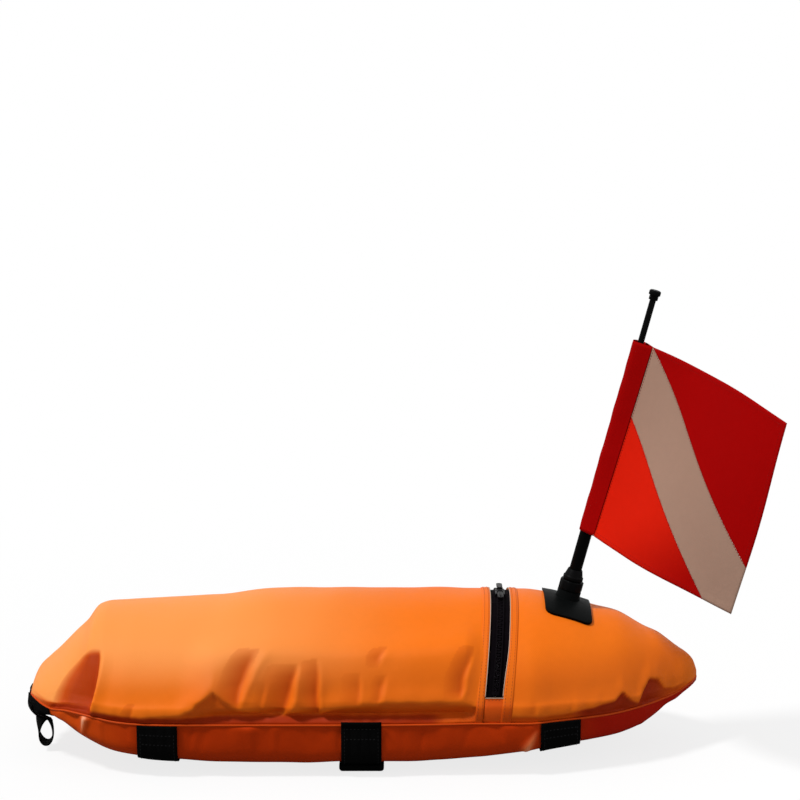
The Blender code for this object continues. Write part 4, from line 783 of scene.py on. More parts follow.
def pucker(height, x, s, draw, half, lean, reach, signs, depth, width, step):
    """Adds small seeded folds all along a seam; each pair is a range to draw from."""
    at = -half
    while at < half:
        line = [(at, 0.001), (at + draw.uniform(*lean), draw.uniform(*reach))]
        sign = draw.choice(signs)
        height += fold(x, s, line, sign * draw.uniform(*depth), draw.uniform(*width))
        at += draw.uniform(*step)


def slow_waves(x, s, seed, longest, count=10):
    """A smooth random surface between about -1 and 1; longest is its longest wave in metres."""
    draw = random.Random(seed)
    total = np.zeros_like(x)
    for wave in range(count):
        length = longest * draw.uniform(0.35, 1.0)
        angle = draw.uniform(0, math.tau)
        reach = x * math.cos(angle) + s * math.sin(angle)
        total += np.sin(math.tau / length * reach + draw.uniform(0, math.tau))
    return total / math.sqrt(count)


# These three tables are in millimetres. Each fold has stations: (distance from the seam, where
# the cloth starts to sink, foot, crest, rise). The first fold is the pleat at the stern.
FOLDS = [np.array(stations) / 1000 for stations in (
    [(0, -392, -345, -337, 5), (6, -390, -344, -336, 12), (14, -387, -342.5, -334.5, 17.5),
     (24, -384, -340.4, -332.2, 19), (39, -377, -337.2, -329, 17), (57, -366, -333.5, -326, 13),
     (76, -352, -330.5, -324, 7), (91, -337, -329, -324, 0)],
    [(16, -182, -154.5, -150, 0), (30, -181, -154.5, -146.5, 6), (49.5, -178, -152.5, -140, 7.8),
     (66, -172, -146.5, -133, 7.2), (79, -164, -140, -124.5, 5), (94, -155, -134, -118, 0)],
    [(8, -135, -126, -123, 0), (16, -135, -125.5, -122.5, 1.8), (40, -132, -121.5, -118, 2),
     (56, -129, -119, -115, 0)],
    [(6, -142, -104, -97, 0), (14.5, -140, -100.5, -88.5, 8.5), (26.5, -137, -95.8, -85, 10),
     (43.5, -130, -89.6, -81.5, 9.5), (59.5, -122, -85, -78.5, 6), (74, -116, -82.5, -76, 0)],
    [(6, -78, -54.5, -51, 0), (13, -79, -54.7, -50.5, 5.8), (40, -78, -55.2, -50.5, 7),
     (62, -76, -55.8, -51, 4.5), (80, -74, -56.2, -51.5, 0)],
    [(20, -26, -4.5, -0.5, 0), (28, -27, -4.5, 0, 2.8), (50, -26, -4, 0.5, 2.6),
     (64, -24, -3.5, 1, 0)],
    [(24, 6, 17.5, 22.5, 0), (31, 8, 19.5, 26, 3), (50, 12, 25, 31.5, 3), (62, 16, 28, 34, 0)],
    [(70, 4, 18.5, 25, 0), (82, 6, 20.5, 28, 2.8), (96, 12, 28, 35, 0)],
    [(30, 100, 122, 125, 0), (40, 100, 122.2, 127.5, 4.5), (56, 102, 124, 130.5, 4.8),
     (74, 110, 131, 137, 3.6), (96, 120, 137.5, 143.5, 0)],
    [(2, 198, 213, 216, 1.2), (12, 198, 214, 217.5, 2.6), (28, 202, 216, 220, 0)],
    [(3, -300, -288, -284, 1.6), (12, -299, -287, -283, 1.8), (26, -292, -283, -279, 0)])]
# Where the side breaks away under the rounded top: (place along, distance from the seam)
SHOULDER = np.array([
    (-240, 4), (-223.6, 14), (-207.7, 22.5), (-195.5, 33.5), (-183.5, 45), (-176.8, 62.5),
    (-166, 77.5), (-153.5, 85), (-50, 82), (60, 81), (110, 84), (170, 93)]) / 1000
SHOULDER_BULGE, SHOULDER_SLOPE, SHOULDER_ROUND = 0.0105, 0.19, 0.0035
SHOULDER_START, SHOULDER_END = (-0.235, -0.185), (0.135, 0.165)
PLEAT_SINK, PLEAT_POWER, PLEAT_SHADE = 0.74, 0.95, 0.72
# Above the seam the cloth tucks under a lip: (place, height of the lip, overhang, hollow under it)
TUCKS = np.array([
    (-400, 6, 0, 0), (-335, 6, 0.6, 0.5), (-310, 9, 2.2, 1.5), (-285, 6, 1.4, 1),
    (-265, 10, 2.4, 1.5), (-224, 14, 3, 2), (-208, 20, 3.6, 3.5), (-195.5, 31, 3.6, 5.5),
    (-183.3, 41, 3, 8.5), (-170, 28, 2.4, 7.5), (-153.5, 20, 2.4, 5.5), (-130, 15, 2, 3.5),
    (-102, 9, 2.6, 1.5), (-87, 15, 3.6, 2), (-68, 14, 3.6, 2), (-53, 10, 3.6, 1.5),
    (-37, 21, 4.2, 2.5), (-5, 25, 4.6, 2.5), (21, 28, 4.8, 2.5), (100, 28, 4.8, 2.5),
    (135, 26, 4, 2), (160, 15, 1.6, 1), (215, 7, 1.4, 0.8), (262, 10, 2.2, 1),
    (285, 13, 2.4, 1.4), (300, 15, 2.6, 2), (317, 17, 2.8, 3.5), (327, 26, 2.6, 8),
    (337, 15, 2.2, 4.5), (347, 8, 2, 1.5), (356, 22, 2.4, 6), (363, 33, 2.2, 8.5),
    (374, 29, 2, 6.5), (383, 14, 1.6, 3), (405, 7, 0.8, 1)]) / 1000


def fold_over(x, s, stations, sink=0.62, power=1.6, run_out=0.016):
    """One fold: the cloth sinks slowly towards its foot and climbs steeply to its crest.

    Returns its height, and how far the cloth is folded in, from 0 to 1."""
    start, foot, crest, rise = (np.interp(s, stations[:, 0], column)
                                for column in stations.T[1:])
    crest = crest + 0.30 * (crest - foot)
    share = np.clip((x - start) / np.maximum(foot - start, 1e-4), 0, 1)
    climbing = smooth_rise(x, foot, crest)
    fading = np.clip(1 - (x - crest) / run_out, 0, 1) ** 2
    profile = np.where(x < foot, -sink * share ** power,
                       np.where(x < crest, climbing - sink, (1 - sink) * fading))
    inside = (s > stations[0][0]) & (s < stations[-1][0])
    folded_in = np.where(x < foot, share ** (0.6 * power),
                         1 - smooth_rise(x, foot, foot * 0.5 + crest * 0.5))
    folded_in = folded_in * np.clip(rise / 0.006, 0, 1)
    return np.where(inside, rise * profile, 0.0), np.where(inside, folded_in, 0.0)


def beyond_line(x, s, line):
    """Signed gap to a line of points, positive on its right-hand and lower side."""
    signed = np.zeros_like(x)
    for a, run, size, along, gap, here in nearest_part(x, s, line):
        side = np.sign((x - a[0]) * run[1] - (s - a[1]) * run[0])
        signed = np.where(here, side * gap, signed)
    return signed


def side_relief(x, s, seed, shift=0.0, strength=1.0):
    """Folds of one side of the deck and the shade painted into them; s runs up from its seam."""
    x = x + shift
    below = beyond_line(x, s, SHOULDER)
    started = smooth_rise(x, *SHOULDER_START)
    within = started * (1 - smooth_rise(x, *SHOULDER_END))
    lifted = SHOULDER_BULGE * smooth_rise(s, 0.004, 0.030)
    break_away = 0.5 * (below + np.sqrt(below ** 2 + SHOULDER_ROUND ** 2))
    above = np.exp(-(np.minimum(below, 0) / 0.040) ** 2)
    height = within * (lifted * above - SHOULDER_SLOPE * break_away * smooth_rise(s, 0.0, 0.012))
    # Painted shade: the lower side darkens where it turns away from the light.
    painted_shade = 0.12 * started * (1 - smooth_rise(s, 0.045, 0.10))
    # Each fold paints shade into its hollow; the pleat at the stern gets the deepest.
    for index, stations in enumerate(FOLDS):
        if index == 0:
            rise, folded_in = fold_over(x, s, stations, PLEAT_SINK, PLEAT_POWER)
            painted_shade = np.maximum(painted_shade, np.clip(1.15 * folded_in, 0, PLEAT_SHADE))
        else:
            rise, folded_in = fold_over(x + 0.0006 * np.sin(150 * s + 2.1 * index), s, stations)
            painted_shade = np.maximum(painted_shade, (0.14 + 0.28 * folded_in) * (folded_in > 0.01))
        height += strength * rise
    pucker(height, x, s, random.Random(seed), 0.40, (-0.008, 0.010), (0.014, 0.036), (1, -1, -1),
           (0.0005, 0.0015), (0.003, 0.007), (0.011, 0.024))
    place, lips, overhangs, hollows = TUCKS.T
    wander = 0.0009 * slow_waves(x, x * 0, seed + 5, 0.05, 6)
    lip = np.maximum(np.interp(x, place, lips) + wander, 0.004)
    overhang, hollow = np.interp(x, place, overhangs), np.interp(x, place, hollows)
    under_lip = 0.45 * np.clip(s / lip, 0, 1) + 0.55 * smooth_rise(s, lip - 0.006, lip)
    past_lip = np.exp(-(np.maximum(s - lip - 0.001, 0) / 0.016) ** 2)
    height += strength * overhang * under_lip * past_lip
    hollowed = smooth_rise(s, 0.0, 0.0016) - smooth_rise(s, lip - 0.005, lip + 0.001)
    height -= strength * 0.45 * hollow * hollowed
    # Painted shade under the lip and in a strip just above the seam, deepest towards the bow.
    in_tuck = (1 - smooth_rise(s, lip - 0.004, lip + 0.0015)) * np.clip(overhang / 0.0022, 0.15, 1)
    depth = 0.36 + 0.56 * smooth_rise(x, 0.255, 0.280)
    by_folds = smooth_rise(x, -0.400, -0.385) * (1 - smooth_rise(x, 0.085, 0.105))
    at_seam = (1 - smooth_rise(s, 0.005, 0.012)) * (0.45 + 0.43 * by_folds)
    return height, np.maximum(np.maximum(painted_shade, depth * in_tuck), at_seam)


def fade_tips(x):
    """One along the float, falling to zero at its two tips."""
    return np.clip((HALF_LENGTH * 0.975 - np.abs(x)) / 0.03, 0, 1)


def deck_relief(x, s, total):
    """Height over the plain form, and painted shade; s runs from the near seam to the far one."""
    far = total - s
    near_height, near_painted_shade = side_relief(x, s, 11)
    far_height, far_painted_shade = side_relief(x, far, 12, 0.021, 0.8)
    calm = 1 - smooth_rise(2 * np.minimum(s, far) / total, 0.42, 0.88)
    taut = 1 - 0.85 * smooth_rise(np.abs(x), 0.18, 0.27)
    height = 0.0006 * taut * slow_waves(x, s, 5, 0.16) + (near_height + far_height) * calm
    taper = np.clip(np.minimum(s, far) / 0.0012, 0, 1)
    tips = fade_tips(x)
    painted_shade = np.where(s < far, near_painted_shade, far_painted_shade) * np.clip(tips * 1.6, 0, 1)
    return height * taper * tips, painted_shade


print("named folds:", len(FOLDS), "a side")

# %% [markdown]
# ## The deck
# Two panels of coated cloth meet the zip, one aft and one fore. Their rows stand upright at the
# ends of the float and lean with the zip beside it. The rows lie two to three millimetres apart,
# close enough to carry the folds, and each panel then gets its wall.

# %% Sew the two deck panels
COVER_WALL = 0.0012
ROW_STEP = 0.0023
DECK_COLUMNS = 191
LEAN_START = {-1: 0.20 * HALF_LENGTH, 1: 0.56 * HALF_LENGTH}
FAR_AFT, FAR_FORE = -0.9985 * HALF_LENGTH, 0.998 * HALF_LENGTH


def deck_rows(side):
    """Row places and leans of one panel, closer together at the float's ends."""
    start, end = (FAR_AFT, slot_edge(-1)) if side < 0 else (slot_edge(1), FAR_FORE)
    share = np.linspace(0, 1, int((end - start) / ROW_STEP))
    share = share ** 1.15 if side < 0 else 1 - (1 - share) ** 1.25
    rows = start + (end - start) * share
    past = side * (LEAN_START[side] - rows)
    whole = side * (LEAN_START[side] - slot_edge(side, FACING))
    return rows, ZIP_LEAN * np.clip(past / whole, 0, 1)


def axis_point(lift=0.0):
    """The point that a piece of the cover looks away from: on the middle line, level with it."""
    return lambda spot: Vector((spot.x, 0.0, SEAM_HEIGHT + lift))


for name, node, side in (("deck_aft", "deck_panel_aft", -1), ("deck_fore", "deck_panel_fore", 1)):
    rows, leans = deck_rows(side)
    plain = deck_grid(rows, leans, DECK_COLUMNS)
    reach = distances(plain, 1)
    relief, painted_shade = deck_relief(plain[..., 0], reach, reach[:, -1:])
    calm = np.clip(np.abs(rows - slot_edge(side)) / 0.030, 0, 1)[:, None]
    places = plain + grid_normals(plain) * (relief * (0.15 + 0.85 * calm))[..., None]
    mesh = lay_grid(name, places, distances(places, 0)[:, [DECK_COLUMNS // 2]], reach,
                    [("painted_shade", painted_shade)])
    piece = lay_cloth(mesh, axis_point(), "deck_cloth", "float", (node,),
                      COVER_WALL)
    print(name, len(mesh.polygons), "quads")

# %% [markdown]
# ## The hull
# The underside is one panel of the same cloth, painted darker than the deck as shade. It bulges a
# little between the straps, and small puckers hang from the seam. The stern's bottom shows one
# fold with a painted highlight along it.

# %% Sew the hull panel
STRAP_CENTRES = (HALF_LENGTH * -0.587, 0.0, HALF_LENGTH * 0.575)
STRAP_WIDTH, STRAP_WALL = 0.050, 0.0015
HULL_COLUMNS = 141
HULL_MIDDLE = 0.02
# Creases of the hull: (line of (place, distance from the seam), depth, width)
HULL_CREASES = [([(-0.343, 0.001), (-0.349, 0.030)], 0.0040, 0.0045),
                ([(-0.360, 0.001), (-0.356, 0.030)], -0.0035, 0.0080),
                ([(0.205, 0.034), (0.222, 0.006)], 0.0035, 0.0060)]
# Painted highlights, lighter places where small folds catch the light: (line, strength, width)
HULL_HIGHLIGHTS = [([(-0.3450, 0.003), (-0.3500, 0.026)], 1.3, 0.0026),
        ([(0.2060, 0.034), (0.2180, 0.008)], 0.8, 0.0045)]


def hull_relief(x, s, total):
    """Height of the hull's cloth over the plain form; s runs from the near seam."""
    far = total - s
    under = smooth_rise(np.minimum(s, far), 0.040, 0.075)
    height = 0.0010 * slow_waves(x, s, 31, 0.14) * (1 - under)
    between = np.min([np.abs(x - centre) for centre in STRAP_CENTRES], axis=0)
    height += 0.0018 * under * smooth_rise(between, 0.028, 0.075)
    for seed, near in ((41, s), (42, far)):
        pucker(height, x, near, random.Random(seed), 0.41, (-0.010, 0.010), (0.015, 0.045),
               (1, -1), (0.0008, 0.0020), (0.004, 0.009), (0.016, 0.034))
        for line, depth, width in HULL_CREASES:
            height += fold(x, near, line, depth, width)
    for centre in STRAP_CENTRES:
        height -= 0.0014 * (1 - under) * np.exp(-((x - centre) / 0.030) ** 2)
    return height * np.clip(np.minimum(s, far) / 0.004, 0, 1) * fade_tips(x)


rows = np.linspace(FAR_AFT, FAR_FORE, int((FAR_FORE - FAR_AFT) / ROW_STEP))
plain = hull_grid(rows, HULL_COLUMNS)
reach = distances(plain, 1)
relief = hull_relief(plain[..., 0], reach, reach[:, -1:])
places = plain + grid_normals(plain, False) * relief[..., None]
# Where the painted highlights lie on the hull.
near_seam = np.minimum(reach, reach[:, -1:] - reach)
rub = np.zeros_like(near_seam)
for line, strength, width in HULL_HIGHLIGHTS:
    rub += fold(plain[..., 0], near_seam, line, strength, width)
hull_mesh = lay_grid("hull", places, distances(places, 0)[:, [HULL_COLUMNS // 2]], reach,
                     [("rub", np.clip(rub, 0, 1))])
hull = lay_cloth(hull_mesh, axis_point(HULL_MIDDLE), "hull_cloth", "float",
                 ("hull_panel",), COVER_WALL)
print("hull", len(hull_mesh.polygons), "quads")

# %% [markdown]
# ## Piping
# A cord wrapped in cloth is sewn between deck and hull. It catches the light as one thin line
# round the whole float, so it is a curve with a round bevel that follows the seam.

# %% Run the piping round the seam
PIPING_RADIUS = 0.0013
seam_x = np.concatenate([np.linspace(-0.9985, -0.93, 14), np.linspace(-0.92, 0.90, 150),
                         np.linspace(0.91, 0.995, 16)]) * HALF_LENGTH
near_side = [(float(drawn_in(x)), -float(half_width(x)), float(seam_line(x)))
             for x in seam_x]
far_side = [(x, -y, z) for x, y, z in near_side[::-1]]
tip_aft = (float(drawn_in(-HALF_LENGTH)), 0.0, float(seam_line(-HALF_LENGTH)))
tip_fore = (0.9965 * HALF_LENGTH, 0.0, float(seam_line(HALF_LENGTH)))
seam_route = [tip_aft] + near_side + [tip_fore] + far_side
piping_curve = bpy.data.curves.new("piping", "CURVE")
piping_curve.dimensions = "3D"
piping_curve.bevel_depth = PIPING_RADIUS
piping_curve.bevel_resolution = 3
strand = piping_curve.splines.new("POLY")
strand.points.add(len(seam_route) - 1)
for point, place in zip(strand.points, seam_route):
    point.co = (*place, 1.0)
strand.use_cyclic_u = True
piping_curve.materials.append(LOOKS["piping_cloth"])
piping = bpy.data.objects.new("piping", piping_curve)
scene.collection.objects.link(piping)
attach(piping, "float")
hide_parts("seam_bead")
print("piping passes", len(seam_route), "points")

# %% [markdown]
# ## Straps and keel pouch
# Three straps of fifty millimetre webbing run under the hull from seam to seam. They lie on the
# hull's own rows, a little outside it, so they follow every bulge. The pouch under the middle one
# is a box of webbing with soft corners.

# %% Lay the straps
STRAP_COLUMNS, STRAP_ROWS = 121, 13
STRAP_LIFT, STRAP_CROWN = 0.0008, 0.0003
# Steps by which the middle strap climbs from the hull to the seam: (outwards, upwards)
CLIMBS = [(0.0016, 0.0020), (0.0022, 0.0042), (0.0022, 0.0064)]

strap_stitches = []
for name, centre in zip(("strap_aft", "strap_mid", "strap_fore"), STRAP_CENTRES):
    rows = np.linspace(centre - STRAP_WIDTH / 2, centre + STRAP_WIDTH / 2, STRAP_ROWS)
    plain = hull_grid(rows, STRAP_COLUMNS)
    out = grid_normals(plain, False)
    crown = STRAP_CROWN * np.cos(np.linspace(-1, 1, STRAP_ROWS) * math.pi / 2)[:, None, None]
    places = plain + out * STRAP_LIFT + out * crown
    if name == "strap_mid":
        near = [places[:, :1] + np.array([0.0, -y, z]) for y, z in CLIMBS[::-1]]
        far = [places[:, -1:] + np.array([0.0, y, z]) for y, z in CLIMBS]
        places = np.concatenate(near + [places] + far, axis=1)
        out = np.concatenate([out[:, :1]] * 3 + [out] + [out[:, -1:]] * 3, axis=1)
    mesh = lay_grid(name + "_web", places, distances(places, 1), distances(places, 0))
    lay_cloth(mesh, axis_point(HULL_MIDDLE), "strap_web", "float", (name,),
              STRAP_WALL, 1.0, smooth_degrees=50)
    top = places + out * (STRAP_WALL + 0.0001)
    for row in (1, 11):
        strap_stitches.append([(top[row, k], out[row, k]) for k in range(3, STRAP_COLUMNS - 3)])
    for column in (4, 8, STRAP_COLUMNS - 9, STRAP_COLUMNS - 5):
        strap_stitches.append([(top[k, column], out[k, column]) for k in range(1, 12)])
sew("strap_stitching", strap_stitches, "thread_black", "float", "webbing")

# %% Soften the keel pouch
pouch_mesh = rounded_mesh("ballast_pouch", "keel_pouch", 0.0035, 4, 30)
layer = pouch_mesh.uv_layers.new(name="cloth")
for face in pouch_mesh.polygons:
    level = abs(face.normal.z) > 0.6 or abs(face.normal.y) > 0.6
    for corner in face.loop_indices:
        spot = pouch_mesh.vertices[pouch_mesh.loops[corner].vertex_index].co
        layer.data[corner].uv = (spot.y, spot.x if level else spot.z)
show(pouch_mesh, "keel_pouch", "strap_web", "float", ("ballast_pouch",), 60)
low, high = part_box("ballast_pouch")
STITCH_LEVEL = low.z + 0.0165
pouch_lines = []
for side, y in ((-1, low.y - 0.0003), (1, high.y + 0.0003)):
    pouch_lines.append([((x, y * 0.985, STITCH_LEVEL), (0, side, 0.2))
                        for x in np.linspace(-0.024, 0.024, 9)])
sew("pouch_stitching", pouch_lines, "thread_black", "float", "webbing")
print("pouch spans", round(high.y - low.y, 3), "m")

# %% [markdown]
# ## Round the zip
# Beside the slot the cloth is folded back and sewn down. A light raw edge shows next to the black
# tape, and two rows of stitches run over the deck to the seam. A sewn patch closes each end.

# %% Fold the cloth beside the zip
NARROW_END = 0.0030
SLOT_END = int(DECK_COLUMNS * 0.0875)
EDGE_WALL, FACING_WALL = 0.0006, 0.0007
ORANGE_STITCH = (0.0028, 0.0014, 0.0004)
SWELL = np.array([0.0002, 0.0009, 0.0011, 0.0011, 0.0010, 0.0009, 0.0009, 0.0008, 0.0003])
zip_stitches, fold_edges = [], []
for name, side in (("facing_aft", -1), ("facing_fore", 1)):
    inner, outer = slot_edge(side), slot_edge(side, FACING)
    rows = np.linspace(inner, outer, len(SWELL))
    plain = deck_grid(rows, np.full(len(SWELL), ZIP_LEAN), DECK_COLUMNS)
    columns = np.arange(DECK_COLUMNS)
    from_end = np.minimum(columns, columns[::-1]) / DECK_COLUMNS
    narrow = NARROW_END * (1 - smooth_rise(from_end, 0.09, 0.26)) * (side > 0)
    plain[..., 0] -= side * narrow * (np.abs(rows - outer)[:, None] / abs(inner - outer))
    out = grid_normals(plain)
    places = plain + out * (SWELL[:, None, None] + 0.0003)
    # Painted shade on the folded facing: a little all along, more towards both seams.
    facing_painted_shade = np.broadcast_to(0.10 + 0.40 * (1 - smooth_rise(from_end, 0.03, 0.10)),
                             places.shape[:2])
    lay_cloth(lay_grid(name, places, marks=[("painted_shade", facing_painted_shade)]), axis_point(), "deck_cloth",
              "float", ("zip_" + name,), FACING_WALL, smooth_degrees=50)
    for row in (2, 6):
        zip_stitches.append([(places[row, k] + out[row, k] * 0.0001, out[row, k])
                             for k in range(2, DECK_COLUMNS - 2)])
    edge_rows = np.sort([inner - side * 0.0005, inner + side * 0.0004])
    lip = deck_grid(edge_rows, np.full(2, ZIP_LEAN), DECK_COLUMNS)
    lip[..., 0] -= side * narrow
    open_part = slice(SLOT_END, DECK_COLUMNS - SLOT_END)
    fold_edges.append((name + "_edge", lip[:, open_part], out[[0, 0]][:, open_part]))


def raw_edge(name, places):
    """The light raw edge of a folded or a patched place."""
    lay_cloth(lay_grid(name, places), axis_point(), "edge_cloth", "float", (),
              EDGE_WALL, smooth_degrees=50)


for name, lip, out in fold_edges:
    raw_edge(name, lip + out * 0.0013)
sew("zip_stitching", zip_stitches, "thread_orange", "float", "deck_fabric", *ORANGE_STITCH)

# %% Close the slot's two ends
PATCH_ROWS = 13
rows = np.linspace(slot_edge(-1, -0.0004), slot_edge(1, -0.0004), PATCH_ROWS)
plain = deck_grid(rows, np.full(PATCH_ROWS, ZIP_LEAN), DECK_COLUMNS)
out = grid_normals(plain)
bow = np.sin(np.linspace(0, math.pi, PATCH_ROWS))[:, None, None] * 0.0006
raised = plain + out * (bow + 0.0010)
tab_stitches = []
# Each end: its names, its columns, the last two of them next to the slot, and the stitched one
for name, node, part, (first, second), stitched, looks in (
        ("end_patch_near", "zip_end_tab_near", slice(0, SLOT_END), (SLOT_END - 1, SLOT_END),
         SLOT_END - 2, SLOT_END),
        ("end_patch_far", "zip_end_tab_far", slice(-SLOT_END, None), (-SLOT_END, -SLOT_END - 1),
         1, -SLOT_END)):
    places = (plain + out * bow)[:, part]
    lay_cloth(lay_grid(name, places), axis_point(), "patch_cloth", "float",
              (node,), COVER_WALL, smooth_degrees=50)
    between = raised[:, first] * 0.6 + raised[:, second] * 0.4
    raw_edge(name + "_edge", np.stack([raised[:, first], between], axis=1))
    tab_stitches.append([(places[k, stitched] + out[k, stitched] * 0.0002, out[k, looks])
                         for k in range(1, 12)])
sew("patch_stitching", tab_stitches, "thread_orange", "float", "deck_fabric", *ORANGE_STITCH)

# %% [markdown]
# ## Zip, pole and base
# These are rigid pieces whose shape the CAD model already has. The zip's tapes and teeth keep their
# solids and get their finish. The moulded and metal pieces get rounded edges.

# %% Round and finish the rigid pieces
for look, names in (
        ("tape_web", "zip_tape_aft zip_tape_fore"),
        ("zip_plastic", "zip_teeth_aft zip_teeth_fore zip_end_stop_near zip_end_stop_far"),
        ("black_plastic", "bladder_valve valve_cap rod_foot"), ("bladder_film", "bladder"),
        ("weight_metal", "ballast_weight"), ("seal_rubber", "socket_seal pole_foot_plug")):
    for node in names.split():
        nodes[node].data.materials.clear()
        nodes[node].data.materials.append(LOOKS[look])
for node, look, body, slot, width in (
        ("flag_base", "base_plastic", "float", "pole_plastic", 0.0009),
        ("lock_ring", "black_plastic", "lock_ring", "moulded_plastic", 0.0003),
        ("pole_collar", "black_plastic", "pole", "moulded_plastic", 0.0004),
        ("pole_bushing", "black_plastic", "pole", "moulded_plastic", 0.0004),
        ("pole_tube", "tube_gloss", "pole", "pole_plastic", 0.0003),
        ("pole_rod", "tube_gloss", "rod", "pole_plastic", 0.0004),
        ("pole_cap", "black_plastic", "rod", "moulded_plastic", 0.0004),
        ("zip_slider_near", "slider_metal", "slider_near", "black_metal", 0.0003),
        ("zip_slider_far", "slider_metal", "slider_far", "black_metal", 0.0003),
        ("zip_pull_near", "slider_metal", "pull_near", "black_metal", 0.0002),
        ("zip_pull_far", "slider_metal", "pull_far", "black_metal", 0.0002)):
    name = node + "_round"
    show(rounded_mesh(node, name, width, 2, 28), name, look, body, (node,))
print("rigid pieces finished")

# %% [markdown]
# ## The flag
# The flag is sewn from two red pieces and a pale stripe, with a doubled hem round its free edges
# and a sleeve that slips over the pole. Each piece is cut from the flat cloth with bisecting
# planes, as a sailmaker would cut it, and only then laid on the surface that the wind gives it.

# %% The flag's surface
BASE_X = HALF_LENGTH * 0.6079
POLE_FOOT = Vector((BASE_X, 0.0, float(seam_height(BASE_X) + deck_rise(BASE_X))))
POLE_LEAN = math.radians(14.8)
pole_along = Vector((math.sin(POLE_LEAN), 0.0, math.cos(POLE_LEAN)))
pole_ahead = Vector((math.cos(POLE_LEAN), 0.0, -math.sin(POLE_LEAN)))
pole_side = Vector((0.0, 1.0, 0.0))
FLAG_HOIST, FLAG_FLY, FLAG_LIFT = 0.2534, 0.2619, 0.0937
SLEEVE_SEAM, SLEEVE_BORE = 0.0205, 0.0088
# How far the wind turns the cloth about the pole, in degrees
TURN_TOP, TURN_LOW = {"hoist": 44.2, "fly": 55.5}, {"hoist": 66.9, "fly": 30.3}
SAG_TOP, SAG_LOW = 0.0179, 0.0101
STRIPE_TOP, STRIPE_LOW, STRIPE_FOOT = 0.756, 0.366, 0.842
FLAG_WALL, HEM_WIDTH = 0.0005, 0.0075
SLEEVE_GAP, CUT_GAP = 0.0002, 0.00015


def fly_turn(along, down):
    hoist, fly = (TURN_TOP[end] * (1 - down) + TURN_LOW[end] * down for end in ("hoist", "fly"))
    return math.radians(hoist + (fly - hoist) * along)


def flag_place(along, drop, lift=0.0):
    """A place on the flag: distances along the fly and down the hoist, and a lift off it."""
    down = drop / FLAG_HOIST
    x = y = 0.0
    parts = 12
    for part in range(parts):
        angle = fly_turn((part + 0.5) / parts * along / FLAG_FLY, down)
        x += along / parts * math.cos(angle)
        y -= along / parts * math.sin(angle)
    free = min(max(along - SLEEVE_SEAM, 0.0) / 0.08, 1.0)
    ripple = 0.0022 * math.sin(19 * along + 9 * drop + 0.6)
    ripple += 0.0012 * math.sin(47 * along - 31 * drop)
    off = lift + free * ripple
    sag = (SAG_TOP * (1 - down) + SAG_LOW * down) * (along / FLAG_FLY) ** 2
    return (POLE_FOOT + pole_ahead * (x + math.sin(angle) * off)
            + pole_side * (y + math.cos(angle) * off)
            + pole_along * (FLAG_LIFT + FLAG_HOIST - drop - sag))


def flag_panel(name, cuts, look, node):
    """Cuts a piece in the flat, lays it, and doubles it at the hems."""
    start = SLEEVE_SEAM + CUT_GAP
    steps = 84
    shape = bmesh.new()
    bmesh.ops.create_grid(shape, x_segments=steps, y_segments=steps, size=0.5)
    for vert in shape.verts:
        vert.co.x = start + (FLAG_FLY - start) * (vert.co.x + 0.5)
        vert.co.y = FLAG_HOIST * (0.5 - vert.co.y)
    for place, out in cuts:
        geometry = list(shape.verts) + list(shape.edges) + list(shape.faces)
        bmesh.ops.bisect_plane(shape, geom=geometry, dist=1e-6, plane_co=place, plane_no=out,
                               clear_outer=True)
    uv = shape.loops.layers.uv.new("cloth")
    for face in shape.faces:
        for corner in face.loops:
            corner[uv].uv = (corner.vert.co.x, corner.vert.co.y)
    mesh = set_down(shape, name)
    flat = [(v.co.x, v.co.y) for v in mesh.vertices]
    for vert, (along, drop) in zip(mesh.vertices, flat):
        vert.co = flag_place(along, drop)
    piece = show(mesh, name, look, "flag", (node,), 60)
    hem = piece.vertex_groups.new(name="hem")
    for index, (along, drop) in enumerate(flat):
        edge = min(FLAG_FLY - along, drop, FLAG_HOIST - drop)
        hem.add([index], 1.0 if edge < HEM_WIDTH else 0.45, "REPLACE")
    give_wall(piece, FLAG_WALL * 2.2, 0.0).vertex_group = "hem"


def cut_line(ends, sign):
    """A cutting plane along a seam: a place on it and the direction that is cut away."""
    run = (Vector(ends[1]) - Vector(ends[0])).normalized()
    out = Vector((run.y, -run.x, 0.0)) * sign
    return Vector(ends[0]) - out * CUT_GAP, out


stripe_end = FLAG_FLY * STRIPE_FOOT
upper_edge = ((SLEEVE_SEAM, 0.0, 0.0), (FLAG_FLY, FLAG_HOIST * STRIPE_TOP, 0.0))
lower_edge = ((SLEEVE_SEAM, FLAG_HOIST * STRIPE_LOW, 0.0), (stripe_end, FLAG_HOIST, 0.0))

